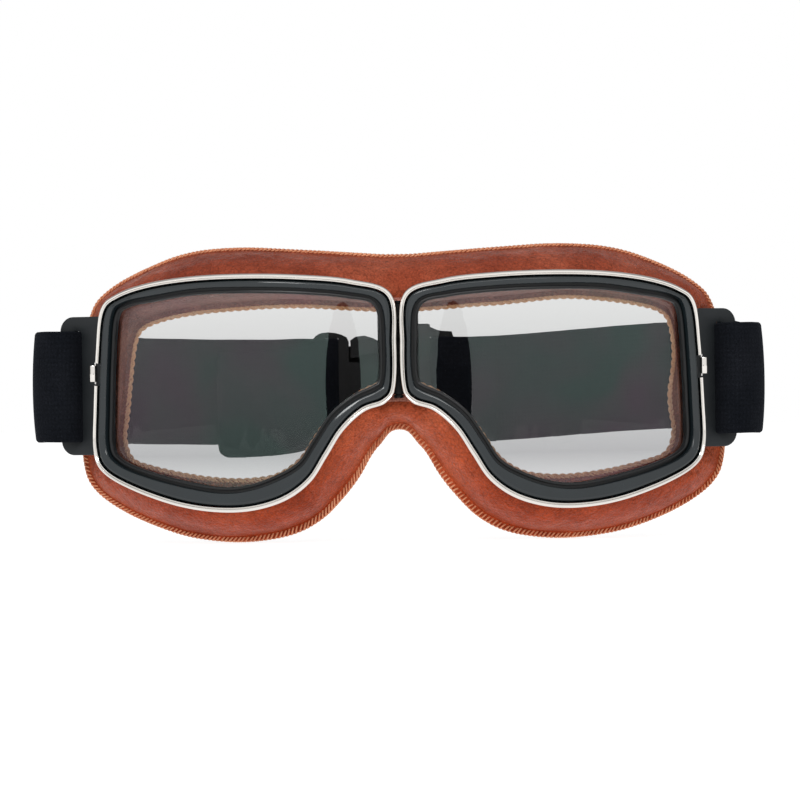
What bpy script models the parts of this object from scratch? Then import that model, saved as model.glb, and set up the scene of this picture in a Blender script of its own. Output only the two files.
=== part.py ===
"""Riding goggles: two wrapped eye units hinged at the nose, a padded leather ring and an elastic strap.

Lengths below are millimetres; SCALE turns them into metres. +X right, -Y front, +Z up.
Each eye unit is laid out flat (u along the wrap, z up, d depth behind the front) and bent
round a vertical cylinder. The left side is the right side mirrored.
"""

import math

import bmesh
import bpy
import numpy as np
from mathutils import Matrix

SCALE = 0.001
WRAP_RADIUS = 100.0
WRAP_APEX_X = 16.0
WRAP_STRAIGHT_U = 70.0  # beyond this the wrap runs straight, so the temple is flat
FACE_DEPTH = 22.0
FACE_CURVE = 24.0 / 88.0**2
RIM_WIDTH = 1.3
FRAME_BACK = 4.9
LENS_FRONT = 3.1
LENS_THICK = 2.2
LENS_TUCK = 1.6
BRACKET_Z = (24.4, 62.6)
BRACKET_THICK = 1.6
HINGE_Y = 8.7
HINGE_Z = (40.0, 64.5)
KNUCKLE_RADIUS = 1.9
PIN_RADIUS = 0.8
STRAP_HALF = 15.0
STRAP_THICK = 1.8
STRAP_Z = 43.3
BUCKLE_Y = 118.0
BUCKLE_Z = 41.3
BUCKLE_RISE = 3.0
STANDOFF = 0.2

# Eye outline, right side: (outer x, outer z, window x, window z), clockwise from the nose top.
EYE = {
    "nose_top": (1.6, 67.2, 6.0, 63.4),
    "brow_inner": (12.4, 71.2, 13.7, 65.6),
    "brow_mid": (27.0, 72.7, 27.5, 66.8),
    "brow_peak": (42.0, 73.2, 42.3, 67.2),
    "brow_outer": (56.3, 72.8, 55.3, 67.0),
    "brow_end": (68.6, 71.2, 66.6, 65.5),
    "temple_top": (77.5, 68.4, 74.4, 63.7),
    "temple_shoulder": (82.3, 64.2, 77.4, 61.0),
    "temple_upper": (84.0, 52.8, 78.1, 50.8),
    "temple_lower": (85.0, 36.6, 78.6, 36.6),
    "temple_foot": (85.1, 25.9, 78.8, 27.4),
    "cheek_corner": (82.3, 19.9, 76.7, 23.8),
    "cheek_outer": (74.0, 15.1, 70.3, 20.6),
    "cheek_slope": (61.5, 10.6, 59.0, 16.7),
    "cheek_low": (50.2, 8.7, 48.7, 14.2),
    "cheek_lowest": (40.1, 9.0, 41.1, 14.8),
    "cheek_inner": (31.0, 11.7, 33.5, 17.7),
    "nose_foot": (24.2, 16.6, 27.6, 22.2),
    "nose_side_low": (19.6, 23.4, 23.8, 27.8),
    "nose_side": (15.2, 30.2, 18.6, 35.2),
    "nose_side_high": (9.4, 35.4, 12.4, 40.0),
    "nose_corner": (3.6, 37.6, 6.8, 42.5),
    "nose_edge_low": (0.9, 41.6, 5.1, 44.6),
    "nose_edge": (0.35, 53.6, 4.9, 53.6),
}

# Leather ring at the face: (outer x, outer z, inner x, inner z), same stations from brow_inner on.
PAD = {
    "brow_inner": (12.5, 79.0, 12.0, 63.4),
    "brow_mid": (28.0, 80.1, 27.0, 64.4),
    "brow_peak": (44.0, 80.9, 42.0, 64.0),
    "brow_outer": (59.5, 79.7, 56.0, 62.9),
    "brow_end": (72.5, 75.4, 65.5, 61.0),
    "temple_top": (82.0, 70.4, 70.2, 58.8),
    "temple_shoulder": (87.3, 64.6, 71.9, 55.4),
    "temple_upper": (89.8, 52.5, 73.0, 48.5),
    "temple_lower": (90.3, 36.0, 74.4, 35.5),
    "temple_foot": (90.4, 23.5, 75.2, 29.0),
    "cheek_corner": (87.5, 15.0, 73.4, 23.2),
    "cheek_outer": (77.6, 7.9, 67.5, 20.2),
    "cheek_slope": (63.5, 2.4, 58.5, 17.7),
    "cheek_low": (51.5, 0.35, 49.5, 16.2),
    "cheek_lowest": (40.5, 0.1, 41.0, 15.8),
    "cheek_inner": (29.5, 1.9, 33.2, 18.0),
    "nose_foot": (21.5, 6.0, 27.2, 22.6),
    "nose_side_low": (15.6, 11.8, 22.8, 29.0),
    "nose_side": (11.0, 17.6, 18.6, 34.4),
    "nose_side_high": (7.7, 23.4, 12.5, 39.6),
    "nose_corner": (3.6, 28.9, 6.2, 43.0),
}
LAST_EYE = len(EYE)


def clear_scene():
    for block in (bpy.data.objects, bpy.data.meshes, bpy.data.materials):
        for item in list(block):
            block.remove(item)


def smooth_point(points, t, closed):
    """Point at parameter t on a Catmull-Rom curve through the control points."""
    count = len(points)
    k = int(math.floor(t))
    if not closed:
        k = min(max(k, 0), count - 2)
    f = t - k
    near = []
    for step in (-1, 0, 1, 2):
        index = (k + step) % count if closed else min(max(k + step, 0), count - 1)
        near.append(np.array(points[index], float))
    a, b, c, d = near
    return 0.5 * (
        2 * b + (c - a) * f + (2 * a - 5 * b + 4 * c - d) * f**2 + (3 * b - a - 3 * c + d) * f**3
    )


def eye_point(t):
    return smooth_point(list(EYE.values()), t % LAST_EYE, True)


def pad_point(t):
    """Leather outline for eye parameter t; the dictionary starts at eye station 1."""
    return smooth_point(list(PAD.values()), t - 1.0, False)


def wrap_u(x):
    straight_x = WRAP_APEX_X + WRAP_RADIUS * math.sin(WRAP_STRAIGHT_U / WRAP_RADIUS)
    if x <= straight_x:
        return WRAP_RADIUS * math.asin((x - WRAP_APEX_X) / WRAP_RADIUS)
    return WRAP_STRAIGHT_U + (x - straight_x) / math.cos(WRAP_STRAIGHT_U / WRAP_RADIUS)


def bend(u, z, d):
    """Flat layout to space: round the wrap cylinder, then straight on at the temple."""
    angle = min(u, WRAP_STRAIGHT_U) / WRAP_RADIUS
    x = WRAP_APEX_X + (WRAP_RADIUS - d) * math.sin(angle)
    y = WRAP_RADIUS - (WRAP_RADIUS - d) * math.cos(angle)
    beyond = max(u - WRAP_STRAIGHT_U, 0.0)
    return (x + beyond * math.cos(angle), y + beyond * math.sin(angle), z)


def face_y(x):
    """How far back the face side of the padding lies at distance x from the nose."""
    return FACE_DEPTH + FACE_CURVE * x * x


def station(t):
    """Outer point, unit step towards the window and band width, in the flat layout."""
    ox, oz, wx, wz = eye_point(t)
    outer = np.array([wrap_u(ox), oz])
    window = np.array([wrap_u(wx), wz])
    width = float(np.linalg.norm(window - outer))
    return outer, (window - outer) / width, width


def eye_section(t, profile):
    """A profile of (inward offset, depth) pairs placed at eye parameter t."""
    outer, inward, width = station(t)
    loop = []
    for offset, depth in profile(width):
        u, z = outer + inward * offset
        loop.append(bend(u, z, depth))
    return loop


def new_object(name, mesh, side=1):
    mesh.transform(side_scale(side))
    obj = bpy.data.objects.new(name, mesh)
    GROUP.objects.link(obj)
    return obj


def side_scale(side):
    return Matrix.Diagonal((SCALE * side, SCALE, SCALE, 1.0))


def finish_mesh(bm, name, side=1):
    """Closed mesh to object: mirror for the left side, then face everything outwards."""
    bmesh.ops.remove_doubles(bm, verts=bm.verts, dist=1e-5)
    mesh = bpy.data.meshes.new(name)
    bm.to_mesh(mesh)
    bm.free()
    obj = new_object(name, mesh, side)
    face_out(obj.data)
    return obj


def face_out(mesh):
    bm = bmesh.new()
    bm.from_mesh(mesh)
    bmesh.ops.recalc_face_normals(bm, faces=bm.faces)
    if bm.calc_volume(signed=True) < 0:
        bmesh.ops.reverse_faces(bm, faces=bm.faces)
    bm.to_mesh(mesh)
    bm.free()


def loft(name, sections, ring, side=1):
    """Solid through equal-length loops; ring closes it on itself, otherwise the ends are capped."""
    bm = bmesh.new()
    loops = [[bm.verts.new(p) for p in section] for section in sections]
    count = len(loops)
    size = len(loops[0])
    for k in range(count if ring else count - 1):
        here = loops[k]
        there = loops[(k + 1) % count]
        for i in range(size):
            j = (i + 1) % size
            bm.faces.new((here[i], here[j], there[j], there[i]))
    if not ring:
        bm.faces.new(loops[0])
        bm.faces.new(loops[-1][::-1])
    return finish_mesh(bm, name, side)


def prism(name, outline, low, high, place, side=1, cuts=()):
    """A flat outline extruded from low to high, split at the cuts, then placed in space."""
    bm = bmesh.new()
    bottom = [bm.verts.new((a, b, low)) for a, b in outline]
    top = [bm.verts.new((a, b, high)) for a, b in outline]
    bm.faces.new(bottom[::-1])
    bm.faces.new(top)
    for i in range(len(outline)):
        j = (i + 1) % len(outline)
        bm.faces.new((bottom[i], bottom[j], top[j], top[i]))
    for cut in cuts:
        everything = bm.verts[:] + bm.edges[:] + bm.faces[:]
        bmesh.ops.bisect_plane(
            bm, geom=everything, dist=1e-6, plane_co=(cut, 0, 0), plane_no=(1, 0, 0)
        )
    bmesh.ops.triangulate(bm, faces=bm.faces)
    for vert in bm.verts:
        vert.co = place(*vert.co)
    return finish_mesh(bm, name, side)


def round_corners(a0, a1, b0, b1, radii, steps=4):
    """Rectangle outline with a radius per corner, from (a0, b0) anticlockwise."""
    corners = ((a0, b0, 180), (a1, b0, 270), (a1, b1, 0), (a0, b1, 90))
    outline = []
    for (a, b, start), radius in zip(corners, radii):
        if radius <= 0:
            outline.append((a, b))
            continue
        ca = a + radius * (1 if a == a0 else -1)
        cb = b + radius * (1 if b == b0 else -1)
        for k in range(steps + 1):
            angle = math.radians(start + 90.0 * k / steps)
            outline.append((ca + radius * math.cos(angle), cb + radius * math.sin(angle)))
    return outline


def rod(name, low, high, radius, side=1, segments=16, bore=0.0):
    """Round rod or tube between two points, by a lathe outline."""
    axis = np.array(high, float) - np.array(low, float)
    length = float(np.linalg.norm(axis))
    axis /= length
    across = np.cross(axis, (0.0, 1.0, 0.0))
    across /= np.linalg.norm(across)
    other = np.cross(axis, across)
    rings = [(radius, 0.0), (radius, length)]
    if bore:
        rings += [(bore, length), (bore, 0.0)]
    return lathe(name, low, axis, across, other, rings, side, segments, bool(bore))


def lathe(name, base, axis, across, other, rings, side, segments, tube=False):
    bm = bmesh.new()
    loops = []
    for radius, height in rings:
        loop = []
        for k in range(segments):
            angle = 2 * math.pi * k / segments
            spoke = across * math.cos(angle) + other * math.sin(angle)
            loop.append(bm.verts.new(np.array(base) + axis * height + spoke * radius))
        loops.append(loop)
    count = len(loops)
    for k in range(count if tube else count - 1):
        here = loops[k]
        there = loops[(k + 1) % count]
        for i in range(segments):
            j = (i + 1) % segments
            bm.faces.new((here[i], here[j], there[j], there[i]))
    if not tube:
        bm.faces.new(loops[0])
        bm.faces.new(loops[-1][::-1])
    return finish_mesh(bm, name, side)


def boolean(obj, other, operation):
    """Applies one exact Boolean and drops the helper."""
    modifier = obj.modifiers.new(operation.lower(), "BOOLEAN")
    modifier.object = other
    modifier.operation = operation
    modifier.solver = "EXACT"
    graph = bpy.context.evaluated_depsgraph_get()
    result = bpy.data.meshes.new_from_object(obj.evaluated_get(graph))
    obj.modifiers.clear()
    obj.data = result
    face_out(obj.data)
    bpy.data.objects.remove(other)
    return obj


def box(name, low, high, side=1):
    outline = ((low[0], low[1]), (high[0], low[1]), (high[0], high[1]), (low[0], high[1]))
    return prism(name, outline, low[2], high[2], lambda a, b, c: (a, b, c), side)


# ---- eye unit ----


def frame_profile(w):
    return (
        (1.6, 0.5), (2.1, 0.0), (w - 1.6, 0.7), (w - 1.1, 1.2),
        (w - 1.1, 2.2), (w - 2.6, 2.2), (w - 2.6, FRAME_BACK), (1.6, FRAME_BACK),
    )


def gasket_profile(w):
    return (
        (w - 2.4, 2.4), (w - 0.9, 2.4), (w - 0.9, 1.7), (w - 0.3, 1.45), (w, 1.9),
        (w, 2.9), (w - 1.8, 2.9), (w - 1.8, 5.6), (w - 2.4, 5.6),
    )


def rim_profile(swell):
    def profile(w):
        low, high = -swell, RIM_WIDTH + swell
        mid = RIM_WIDTH / 2
        front = -0.5 - swell
        return ((low, 3.4), (low, 0.2), (0.25, front), (mid * 2 - 0.25, front), (high, 0.2), (high, 3.4))

    return profile


def eye_frame(tag, side):
    stations = [k * 0.5 for k in range(LAST_EYE * 2)]
    return loft("eye_frame_" + tag, [eye_section(t, frame_profile) for t in stations], True, side)


def lens_gasket(tag, side):
    stations = [k * 0.5 for k in range(LAST_EYE * 2)]
    return loft("lens_gasket_" + tag, [eye_section(t, gasket_profile) for t in stations], True, side)


def chrome_rim(tag, side):
    """Open bead round the frame; both ends swell into the lugs of the closing block."""
    start, stop = 8.60, LAST_EYE + 8.13
    middle = [9.0 + 0.5 * k for k in range(int((LAST_EYE - 1.0) * 2) + 1)]
    stations = [(start, 0.3), (start + 0.06, 0.3), (start + 0.09, 0.0)]
    stations += [(t, 0.0) for t in middle]
    stations += [(stop - 0.09, 0.0), (stop - 0.06, 0.3), (stop, 0.3)]
    sections = [eye_section(t, rim_profile(swell)) for t, swell in stations]
    return loft("chrome_rim_" + tag, sections, False, side)


def rim_axis(t):
    outer, inward, _ = station(t)
    u, z = outer + inward * 0.15
    return np.array(bend(u, z, 0.7))


def rim_closure(tag, side):
    """Barrel and screw that draw the two rim ends together at the temple."""
    low, high = rim_axis(8.54), rim_axis(8.20)
    axis = (high - low) / np.linalg.norm(high - low)
    barrel = rod("rim_barrel_" + tag, low + axis * 0.25, high - axis * 0.75, 1.15, side, 16, 0.6)
    across = np.cross(axis, (0.0, 1.0, 0.0))
    across /= np.linalg.norm(across)
    other = np.cross(axis, across)
    length = float(np.linalg.norm(high - low))
    rings = [(0.45, 0.1), (0.45, length - 0.6), (0.95, length - 0.6), (0.95, length - 0.1)]
    screw = lathe("rim_screw_" + tag, low, axis, across, other, rings, side, 16)
    return [barrel, screw]


def lens(tag, side):
    outline = []
    for k in range(LAST_EYE * 2):
        outer, inward, width = station(k * 0.5)
        outline.append(tuple(outer + inward * (width - LENS_TUCK)))
    cuts = [u for u in np.arange(-10.0, 72.0, 5.0)]
    return prism("lens_" + tag, outline, LENS_FRONT, LENS_FRONT + LENS_THICK, bend, side, cuts)


# ---- strap bracket ----


def bracket_place(a, b, c):
    """Plate layout to space: behind the rim along the wrap, then out at a flatter angle."""
    base = np.array(bend(wrap_u(85.0), 0.0, 5.1))
    turn = WRAP_STRAIGHT_U / WRAP_RADIUS if a < 0 else math.radians(28.0)
    along = np.array([math.cos(turn), math.sin(turn), 0.0])
    if a == 0:
        turn = (WRAP_STRAIGHT_U / WRAP_RADIUS + math.radians(28.0)) / 2
    back = np.array([-math.sin(turn), math.cos(turn), 0.0])
    return base + along * a + back * c + np.array([0.0, 0.0, b])


def strap_bracket(tag, side):
    flat = lambda a, b, c: (a, b, c)
    outline = round_corners(-4.4, 13.4, *BRACKET_Z, (1.0, 4.0, 4.0, 1.0))
    plate = prism("strap_bracket_" + tag, outline, 0.0, BRACKET_THICK, flat)
    middle = sum(BRACKET_Z) / 2
    slot = round_corners(3.9, 7.7, middle - 15.7, middle + 15.7, (1.2,) * 4, 3)
    boolean(plate, prism("slot_cutter", slot, -3.0, 5.0, flat), "DIFFERENCE")
    for height in (-11.5, 11.5):
        hole = rod("hole_cutter", (-2.6, middle + height, -3.0), (-2.6, middle + height, 5.0), 0.85)
        boolean(plate, hole, "DIFFERENCE")
    bm = bmesh.new()
    bm.from_mesh(plate.data)
    everything = bm.verts[:] + bm.edges[:] + bm.faces[:]
    bmesh.ops.bisect_plane(bm, geom=everything, dist=1e-7, plane_co=(0, 0, 0), plane_no=(1, 0, 0))
    bmesh.ops.triangulate(bm, faces=bm.faces)
    for vert in bm.verts:
        a, b, c = vert.co / SCALE
        vert.co = bracket_place(0.0 if abs(a) < 1e-4 else a, b, c)
        vert.co = vert.co * SCALE
        vert.co.x = vert.co.x * side
    bm.to_mesh(plate.data)
    bm.free()
    face_out(plate.data)
    rivets = []
    for word, height in (("lower", -11.5), ("upper", 11.5)):
        low = bracket_place(-2.6, middle + height, -0.1)
        high = bracket_place(-2.6, middle + height, BRACKET_THICK + 0.6)
        axis = (high - low) / np.linalg.norm(high - low)
        across = np.array([0.0, 0.0, 1.0])
        other = np.cross(axis, across)
        rings = [(0.7, 0.0), (0.7, 1.8), (1.5, 1.8), (1.1, 2.3)]
        rivets.append(lathe(f"bracket_rivet_{word}_{tag}", low, axis, across, other, rings, side, 12))
    return [plate] + rivets


# ---- hinge ----


def hinge_leaf(tag, side, spans):
    """Plate behind the nose band with its share of the knuckles."""
    plate = box("hinge_leaf_" + tag, (1.2, 7.05, HINGE_Z[0] + 3.0), (5.6, 7.85, HINGE_Z[1] - 1.0))
    for low, high in spans:
        tube = rod("knuckle", (0, HINGE_Y, low), (0, HINGE_Y, high), KNUCKLE_RADIUS)
        boolean(plate, tube, "UNION")
    for low, high in other_spans(spans):
        gap = box("gap", (-3.0, 3.0, low - 0.2), (2.4, 12.0, high + 0.2))
        boolean(plate, gap, "DIFFERENCE")
    bore = rod("bore", (0, HINGE_Y, HINGE_Z[0] - 3), (0, HINGE_Y, HINGE_Z[1] + 3), PIN_RADIUS + 0.05)
    boolean(plate, bore, "DIFFERENCE")
    if side < 0:
        for vert in plate.data.vertices:
            vert.co.x = -vert.co.x
    face_out(plate.data)
    return plate


KNUCKLES = [(40.0, 45.0), (45.2, 49.8), (50.0, 54.6), (54.8, 59.4), (59.6, 64.5)]


def other_spans(spans):
    return [span for span in KNUCKLES if span not in spans]


def hinge():
    left = hinge_leaf("left", -1, KNUCKLES[0::2])
    right = hinge_leaf("right", 1, KNUCKLES[1::2])
    axis = np.array([0.0, 0.0, 1.0])
    across = np.array([1.0, 0.0, 0.0])
    other = np.array([0.0, 1.0, 0.0])
    low, high = HINGE_Z
    rings = [(1.3, 0.0), (1.3, 0.7), (PIN_RADIUS, 0.9), (PIN_RADIUS, high - low + 1.1),
             (1.3, high - low + 1.3), (1.3, high - low + 2.0)]
    pin = lathe("hinge_pin", (0, HINGE_Y, low - 1.0), axis, across, other, rings, 1, 16)
    return left, right, pin


# ---- padding ----


def attach_depth(t):
    """The leather starts behind the frame, and behind the bracket at the temple."""
    return 7.7 if 6.4 < t < 11.1 else FRAME_BACK + STANDOFF


def ring_section(front_out, front_in, back_out, back_in, puff):
    """Cushion cross-section: leather side wall, face edge and inner wall."""
    fo, fi = np.array(front_out), np.array(front_in)
    bo, bi = np.array(back_out), np.array(back_in)
    away = bo - bi
    away[1] = 0.0
    away /= np.linalg.norm(away)
    return [
        fo,
        fo + (bo - fo) * 0.35 + away * puff,
        fo + (bo - fo) * 0.72 + away * puff * 0.9,
        bo,
        bi,
        bi + (fi - bi) * 0.5,
        fi,
    ]


def side_station(t):
    """Front and back points of the padding on the side of the goggles, right side."""
    outer, inward, width = station(t)
    depth = attach_depth(t)
    front_out = bend(*(outer + inward * 1.8), depth)
    front_in = bend(*(outer + inward * (width - 2.8)), depth)
    ox, oz, ix, iz = pad_point(t)
    return front_out, front_in, (ox, face_y(ox), oz), (ix, face_y(ix), iz)


def cushion_loop(t):
    front_out, front_in, out, inn = side_station(t)
    puff = 0.0 if 7.2 < t < 10.8 else 1.5
    back_out = (out[0], out[1] - 2.8, out[2])
    back_in = (inn[0], inn[1] - 2.8, inn[2])
    return ring_section(front_out, front_in, back_out, back_in, puff)


def pad_loop(out, inn):
    """Face pad cross-section between the outer and the inner seam."""
    out, inn = np.array(out), np.array(inn)
    back = np.array([0.0, 1.0, 0.0])
    return [
        out - back * 2.6,
        out - back * 1.0 + (out - inn) * 0.01,
        out + (inn - out) * 0.18 + back * 0.3,
        out + (inn - out) * 0.5 + back * 0.9,
        out + (inn - out) * 0.82 + back * 0.3,
        inn - back * 1.0,
        inn - back * 2.6,
    ]


SIDE_FROM, SIDE_TO = 1.25, 18.25


def side_padding(tag, side):
    stations = [SIDE_FROM] + [k * 0.5 for k in range(3, 37)] + [SIDE_TO]
    cushion = loft("cushion_" + tag, [cushion_loop(t) for t in stations], False, side)
    loops = [pad_loop(*side_station(t)[2:]) for t in stations]
    pad = loft("face_pad_" + tag, loops, False, side)
    return [cushion, pad]


def mirrored(loop):
    return [np.array(p) * (-1.0, 1.0, 1.0) for p in loop]


def bridge_stations(side_part, middle):
    return side_part + [middle] + [mirrored(loop) for loop in side_part[::-1]]


def brow_padding():
    """Padding over the bridge, between the two side cushions."""
    ends = []
    pads = []
    for x in (14.2, 9.0, 4.0):
        top = 71.2 - 3.4 * (1 - x / 15.0) ** 2
        front_y = 6.4 + 0.4 * (1 - x / 15.0)
        rise = 78.5 + 0.7 * x / 15.0
        low = 63.0 + 0.7 * x / 15.0
        out = (x, face_y(x), rise)
        inn = (x, face_y(x), low)
        ends.append(
            ring_section((x, front_y, top - 1.6), (x, front_y, top - 3.4),
                         (x, out[1] - 2.8, rise), (x, inn[1] - 2.8, low), 1.5)
        )
        pads.append(pad_loop(out, inn))
    middle = ring_section((0, 7.0, 67.9), (0, 7.0, 66.7), (0, FACE_DEPTH - 2.8, 78.4),
                          (0, FACE_DEPTH - 2.8, 63.0), 1.2)
    pad_middle = pad_loop((0, FACE_DEPTH, 78.4), (0, FACE_DEPTH, 63.0))
    return [
        loft("cushion_brow", bridge_stations(ends, middle), False),
        loft("face_pad_brow", bridge_stations(pads, pad_middle), False),
    ]


def nose_padding():
    """Padding that arches over the nose, between the two side cushions."""
    loops = []
    pads = []
    for t in (18.45, 19.0, 19.5, 20.0, 20.5, 21.0):
        loop = cushion_loop(t)
        if t > 20.2:
            loop = [np.array(p) + (0.0, 1.2, 0.0) if p[1] < 9.5 else p for p in loop]
        loops.append(loop)
        pads.append(pad_loop(*side_station(t)[2:]))
    middle = ring_section((0, 10.4, 36.6), (0, 11.2, 39.2), (0, FACE_DEPTH - 2.8, 31.0),
                          (0, FACE_DEPTH - 2.8, 44.0), 1.0)
    pad_middle = pad_loop((0, FACE_DEPTH, 31.0), (0, FACE_DEPTH, 44.0))
    return [
        loft("cushion_nose", bridge_stations(loops, middle), False),
        loft("face_pad_nose", bridge_stations(pads, pad_middle), False),
    ]


# ---- strap and buckle ----


def ribbon(name, path, side=1, steps=2):
    """Webbing standing on edge along a plan path of (x, y, centre height)."""
    centres = []
    for k in range(len(path) - 1):
        for step in range(steps):
            centres.append(smooth_point(path, k + step / steps, False))
    centres.append(np.array(path[-1], float))
    sections = []
    for k, centre in enumerate(centres):
        ahead = centres[min(k + 1, len(centres) - 1)]
        behind = centres[max(k - 1, 0)]
        way = (ahead - behind)[:2]
        way /= np.linalg.norm(way)
        across = np.array([-way[1], way[0], 0.0]) * STRAP_THICK / 2
        up = np.array([0.0, 0.0, STRAP_HALF])
        soft = np.array([0.0, 0.0, STRAP_HALF - 0.5])
        sections.append([centre + across * 0.5 - up, centre + across - soft, centre + across + soft,
                         centre + across * 0.5 + up, centre - across * 0.5 + up, centre - across + soft,
                         centre - across - soft, centre - across * 0.5 - up])
    return loft(name, sections, False, side)


TEMPLE_LOOP = [
    (95.0, 58.5, STRAP_Z), (96.3, 52.0, STRAP_Z), (95.4, 46.0, STRAP_Z), (93.2, 42.8, STRAP_Z),
    (89.6, 40.3, STRAP_Z), (86.9, 38.2, STRAP_Z), (86.0, 36.0, STRAP_Z), (86.5, 34.0, STRAP_Z),
    (87.6, 31.8, STRAP_Z), (91.0, 30.8, STRAP_Z), (95.6, 32.4, STRAP_Z), (98.8, 36.2, STRAP_Z),
    (99.8, 41.5, STRAP_Z),
    (99.4, 48.0, STRAP_Z), (98.6, 54.0, STRAP_Z), (97.4, 60.0, STRAP_Z),
]


def strap_right():
    around = [(93.6, 74.0, 44.6), (86.0, 91.0, 44.8), (73.0, 105.0, 44.3), (55.0, 115.0, 43.2),
              (36.0, 120.2, 41.9), (21.0, 121.2, BUCKLE_Z), (15.5, 121.3, BUCKLE_Z),
              (12.1, 120.6, BUCKLE_Z), (10.6, 118.0, BUCKLE_Z), (12.1, 115.4, BUCKLE_Z),
              (16.0, 114.6, BUCKLE_Z), (22.0, 115.3, BUCKLE_Z), (28.0, 117.0, BUCKLE_Z)]
    return ribbon("strap_right", TEMPLE_LOOP + around)


def strap_left():
    around = [(93.6, 74.0, 43.2), (86.0, 91.0, 42.8), (73.0, 105.0, 42.0), (55.0, 115.4, 41.5),
              (38.0, 120.4, BUCKLE_Z), (28.5, 121.2, BUCKLE_Z), (23.5, 121.3, BUCKLE_Z),
              (20.1, 120.6, BUCKLE_Z), (18.65, 118.0, BUCKLE_Z), (20.1, 115.4, BUCKLE_Z),
              (24.0, 114.4, BUCKLE_Z - 0.3), (30.0, 114.0, BUCKLE_Z - 1.4), (40.0, 112.8, BUCKLE_Z - 2.8),
              (50.0, 110.6, BUCKLE_Z - 3.6)]
    return ribbon("strap_left", TEMPLE_LOOP + around, -1)


def buckle_place(a, b, c):
    return (a, BUCKLE_Y + c, BUCKLE_Z + b)


def raised(outline):
    """The latching half of the buckle sits above the middle of the strap."""
    return [(a, b + BUCKLE_RISE) for a, b in outline]


def buckle_half(name, outline, thick):
    return prism(name, outline, -thick, thick, buckle_place)


def buckle_box(name, low, high):
    outline = ((low[0], low[1]), (high[0], low[1]), (high[0], high[1]), (low[0], high[1]))
    return prism(name, outline, low[2], high[2], buckle_place)


def buckle_female():
    upper = [(9.3, 15.9), (8.6, 16.2), (5.6, 16.2), (4.9, 14.4), (-3.5, 14.2), (-5.0, 13.4)]
    body = buckle_half("buckle_female", raised([(a, -b) for a, b in upper[::-1]] + upper), 3.8)
    outline = [(8.6, -13.0), (8.7, -16.0), (9.4, -16.9), (12.6, -16.9), (15.6, -16.7), (16.2, -15.0),
               (16.2, 15.0), (15.6, 16.9), (12.6, 17.1), (11.3, 17.4), (8.6, 18.6)]
    boolean(body, buckle_half("strap_end", outline, 1.7), "UNION")
    low, high = BUCKLE_RISE - 11.9, BUCKLE_RISE + 11.9
    boolean(body, buckle_box("mouth", (-9.0, low, -2.3), (7.0, high, 2.3)), "DIFFERENCE")
    boolean(body, buckle_box("windows", (-1.4, -25.0, -1.8), (5.4, 25.0, 1.8)), "DIFFERENCE")
    boolean(body, buckle_box("slot", (9.3, -15.3, -9.0), (12.7, 15.3, 9.0)), "DIFFERENCE")
    return body


def buckle_male():
    upper = [(-14.4, 9.6), (-14.4, 14.3), (-15.0, 15.6), (-16.6, 16.4), (-18.4, 16.9), (-20.4, 17.1),
             (-22.4, 16.9), (-24.0, 16.1), (-25.0, 14.9)]
    outline = [(a, -b) for a, b in upper[::-1]] + upper
    base = buckle_half("buckle_male", outline, 1.7)
    boolean(base, buckle_box("slot", (-21.2, -15.25, -9.0), (-17.4, 15.25, 9.0)), "DIFFERENCE")
    tongue = [(-14.9, -5.4), (4.0, -4.2), (6.2, -3.0), (6.2, 3.0), (4.0, 4.2), (-14.9, 5.4)]
    boolean(base, buckle_half("tongue", raised(tongue), 1.5), "UNION")
    low, high = BUCKLE_RISE - 10.0, BUCKLE_RISE + 10.0
    boolean(base, buckle_box("rib", (-16.4, low, 1.0), (-14.35, high, 3.1)), "UNION")
    boolean(base, buckle_box("web", (-15.4, low, 1.8), (-5.7, high, 3.1)), "UNION")
    return base


def latch_arm(tag, sign):
    outline = [(-13.9, 6.4), (-8.0, 7.8), (4.4, 8.0), (4.9, 10.4), (4.4, 13.7), (0.2, 13.9),
               (-0.4, 11.5), (-5.4, 11.2), (-7.2, 12.2), (-9.8, 13.0), (-12.4, 12.7), (-13.9, 11.7)]
    return buckle_half("latch_arm_" + tag, raised([(a, b * sign) for a, b in outline]), 1.5)


# ---- finishing ----

COLOURS = {
    "eye_frame": ((0.032, 0.036, 0.038), 0.18, 0.0),
    "chrome_rim": ((0.78, 0.76, 0.73), 0.08, 1.0),
    "rim_barrel": ((0.72, 0.70, 0.67), 0.12, 1.0),
    "rim_screw": ((0.70, 0.68, 0.65), 0.15, 1.0),
    "lens_gasket": ((0.02, 0.02, 0.02), 0.6, 0.0),
    "lens": ((0.85, 0.88, 0.88), 0.03, 0.0),
    "strap_bracket": ((0.035, 0.038, 0.04), 0.45, 0.3),
    "bracket_rivet": ((0.30, 0.30, 0.30), 0.3, 1.0),
    "hinge_leaf": ((0.05, 0.05, 0.055), 0.35, 1.0),
    "hinge_pin": ((0.55, 0.55, 0.55), 0.2, 1.0),
    "cushion": ((0.37, 0.095, 0.045), 0.42, 0.0),
    "face_pad": ((0.30, 0.15, 0.10), 0.7, 0.0),
    "strap": ((0.010, 0.012, 0.015), 0.9, 0.0),
    "buckle": ((0.02, 0.02, 0.022), 0.4, 0.0),
    "latch_arm": ((0.02, 0.02, 0.022), 0.4, 0.0),
}
ROUND = ("rim_barrel", "rim_screw", "hinge_pin", "cushion", "face_pad", "strap_left", "strap_right",
         "bracket_rivet")
RIGHT_HALF = "_right"


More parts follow.
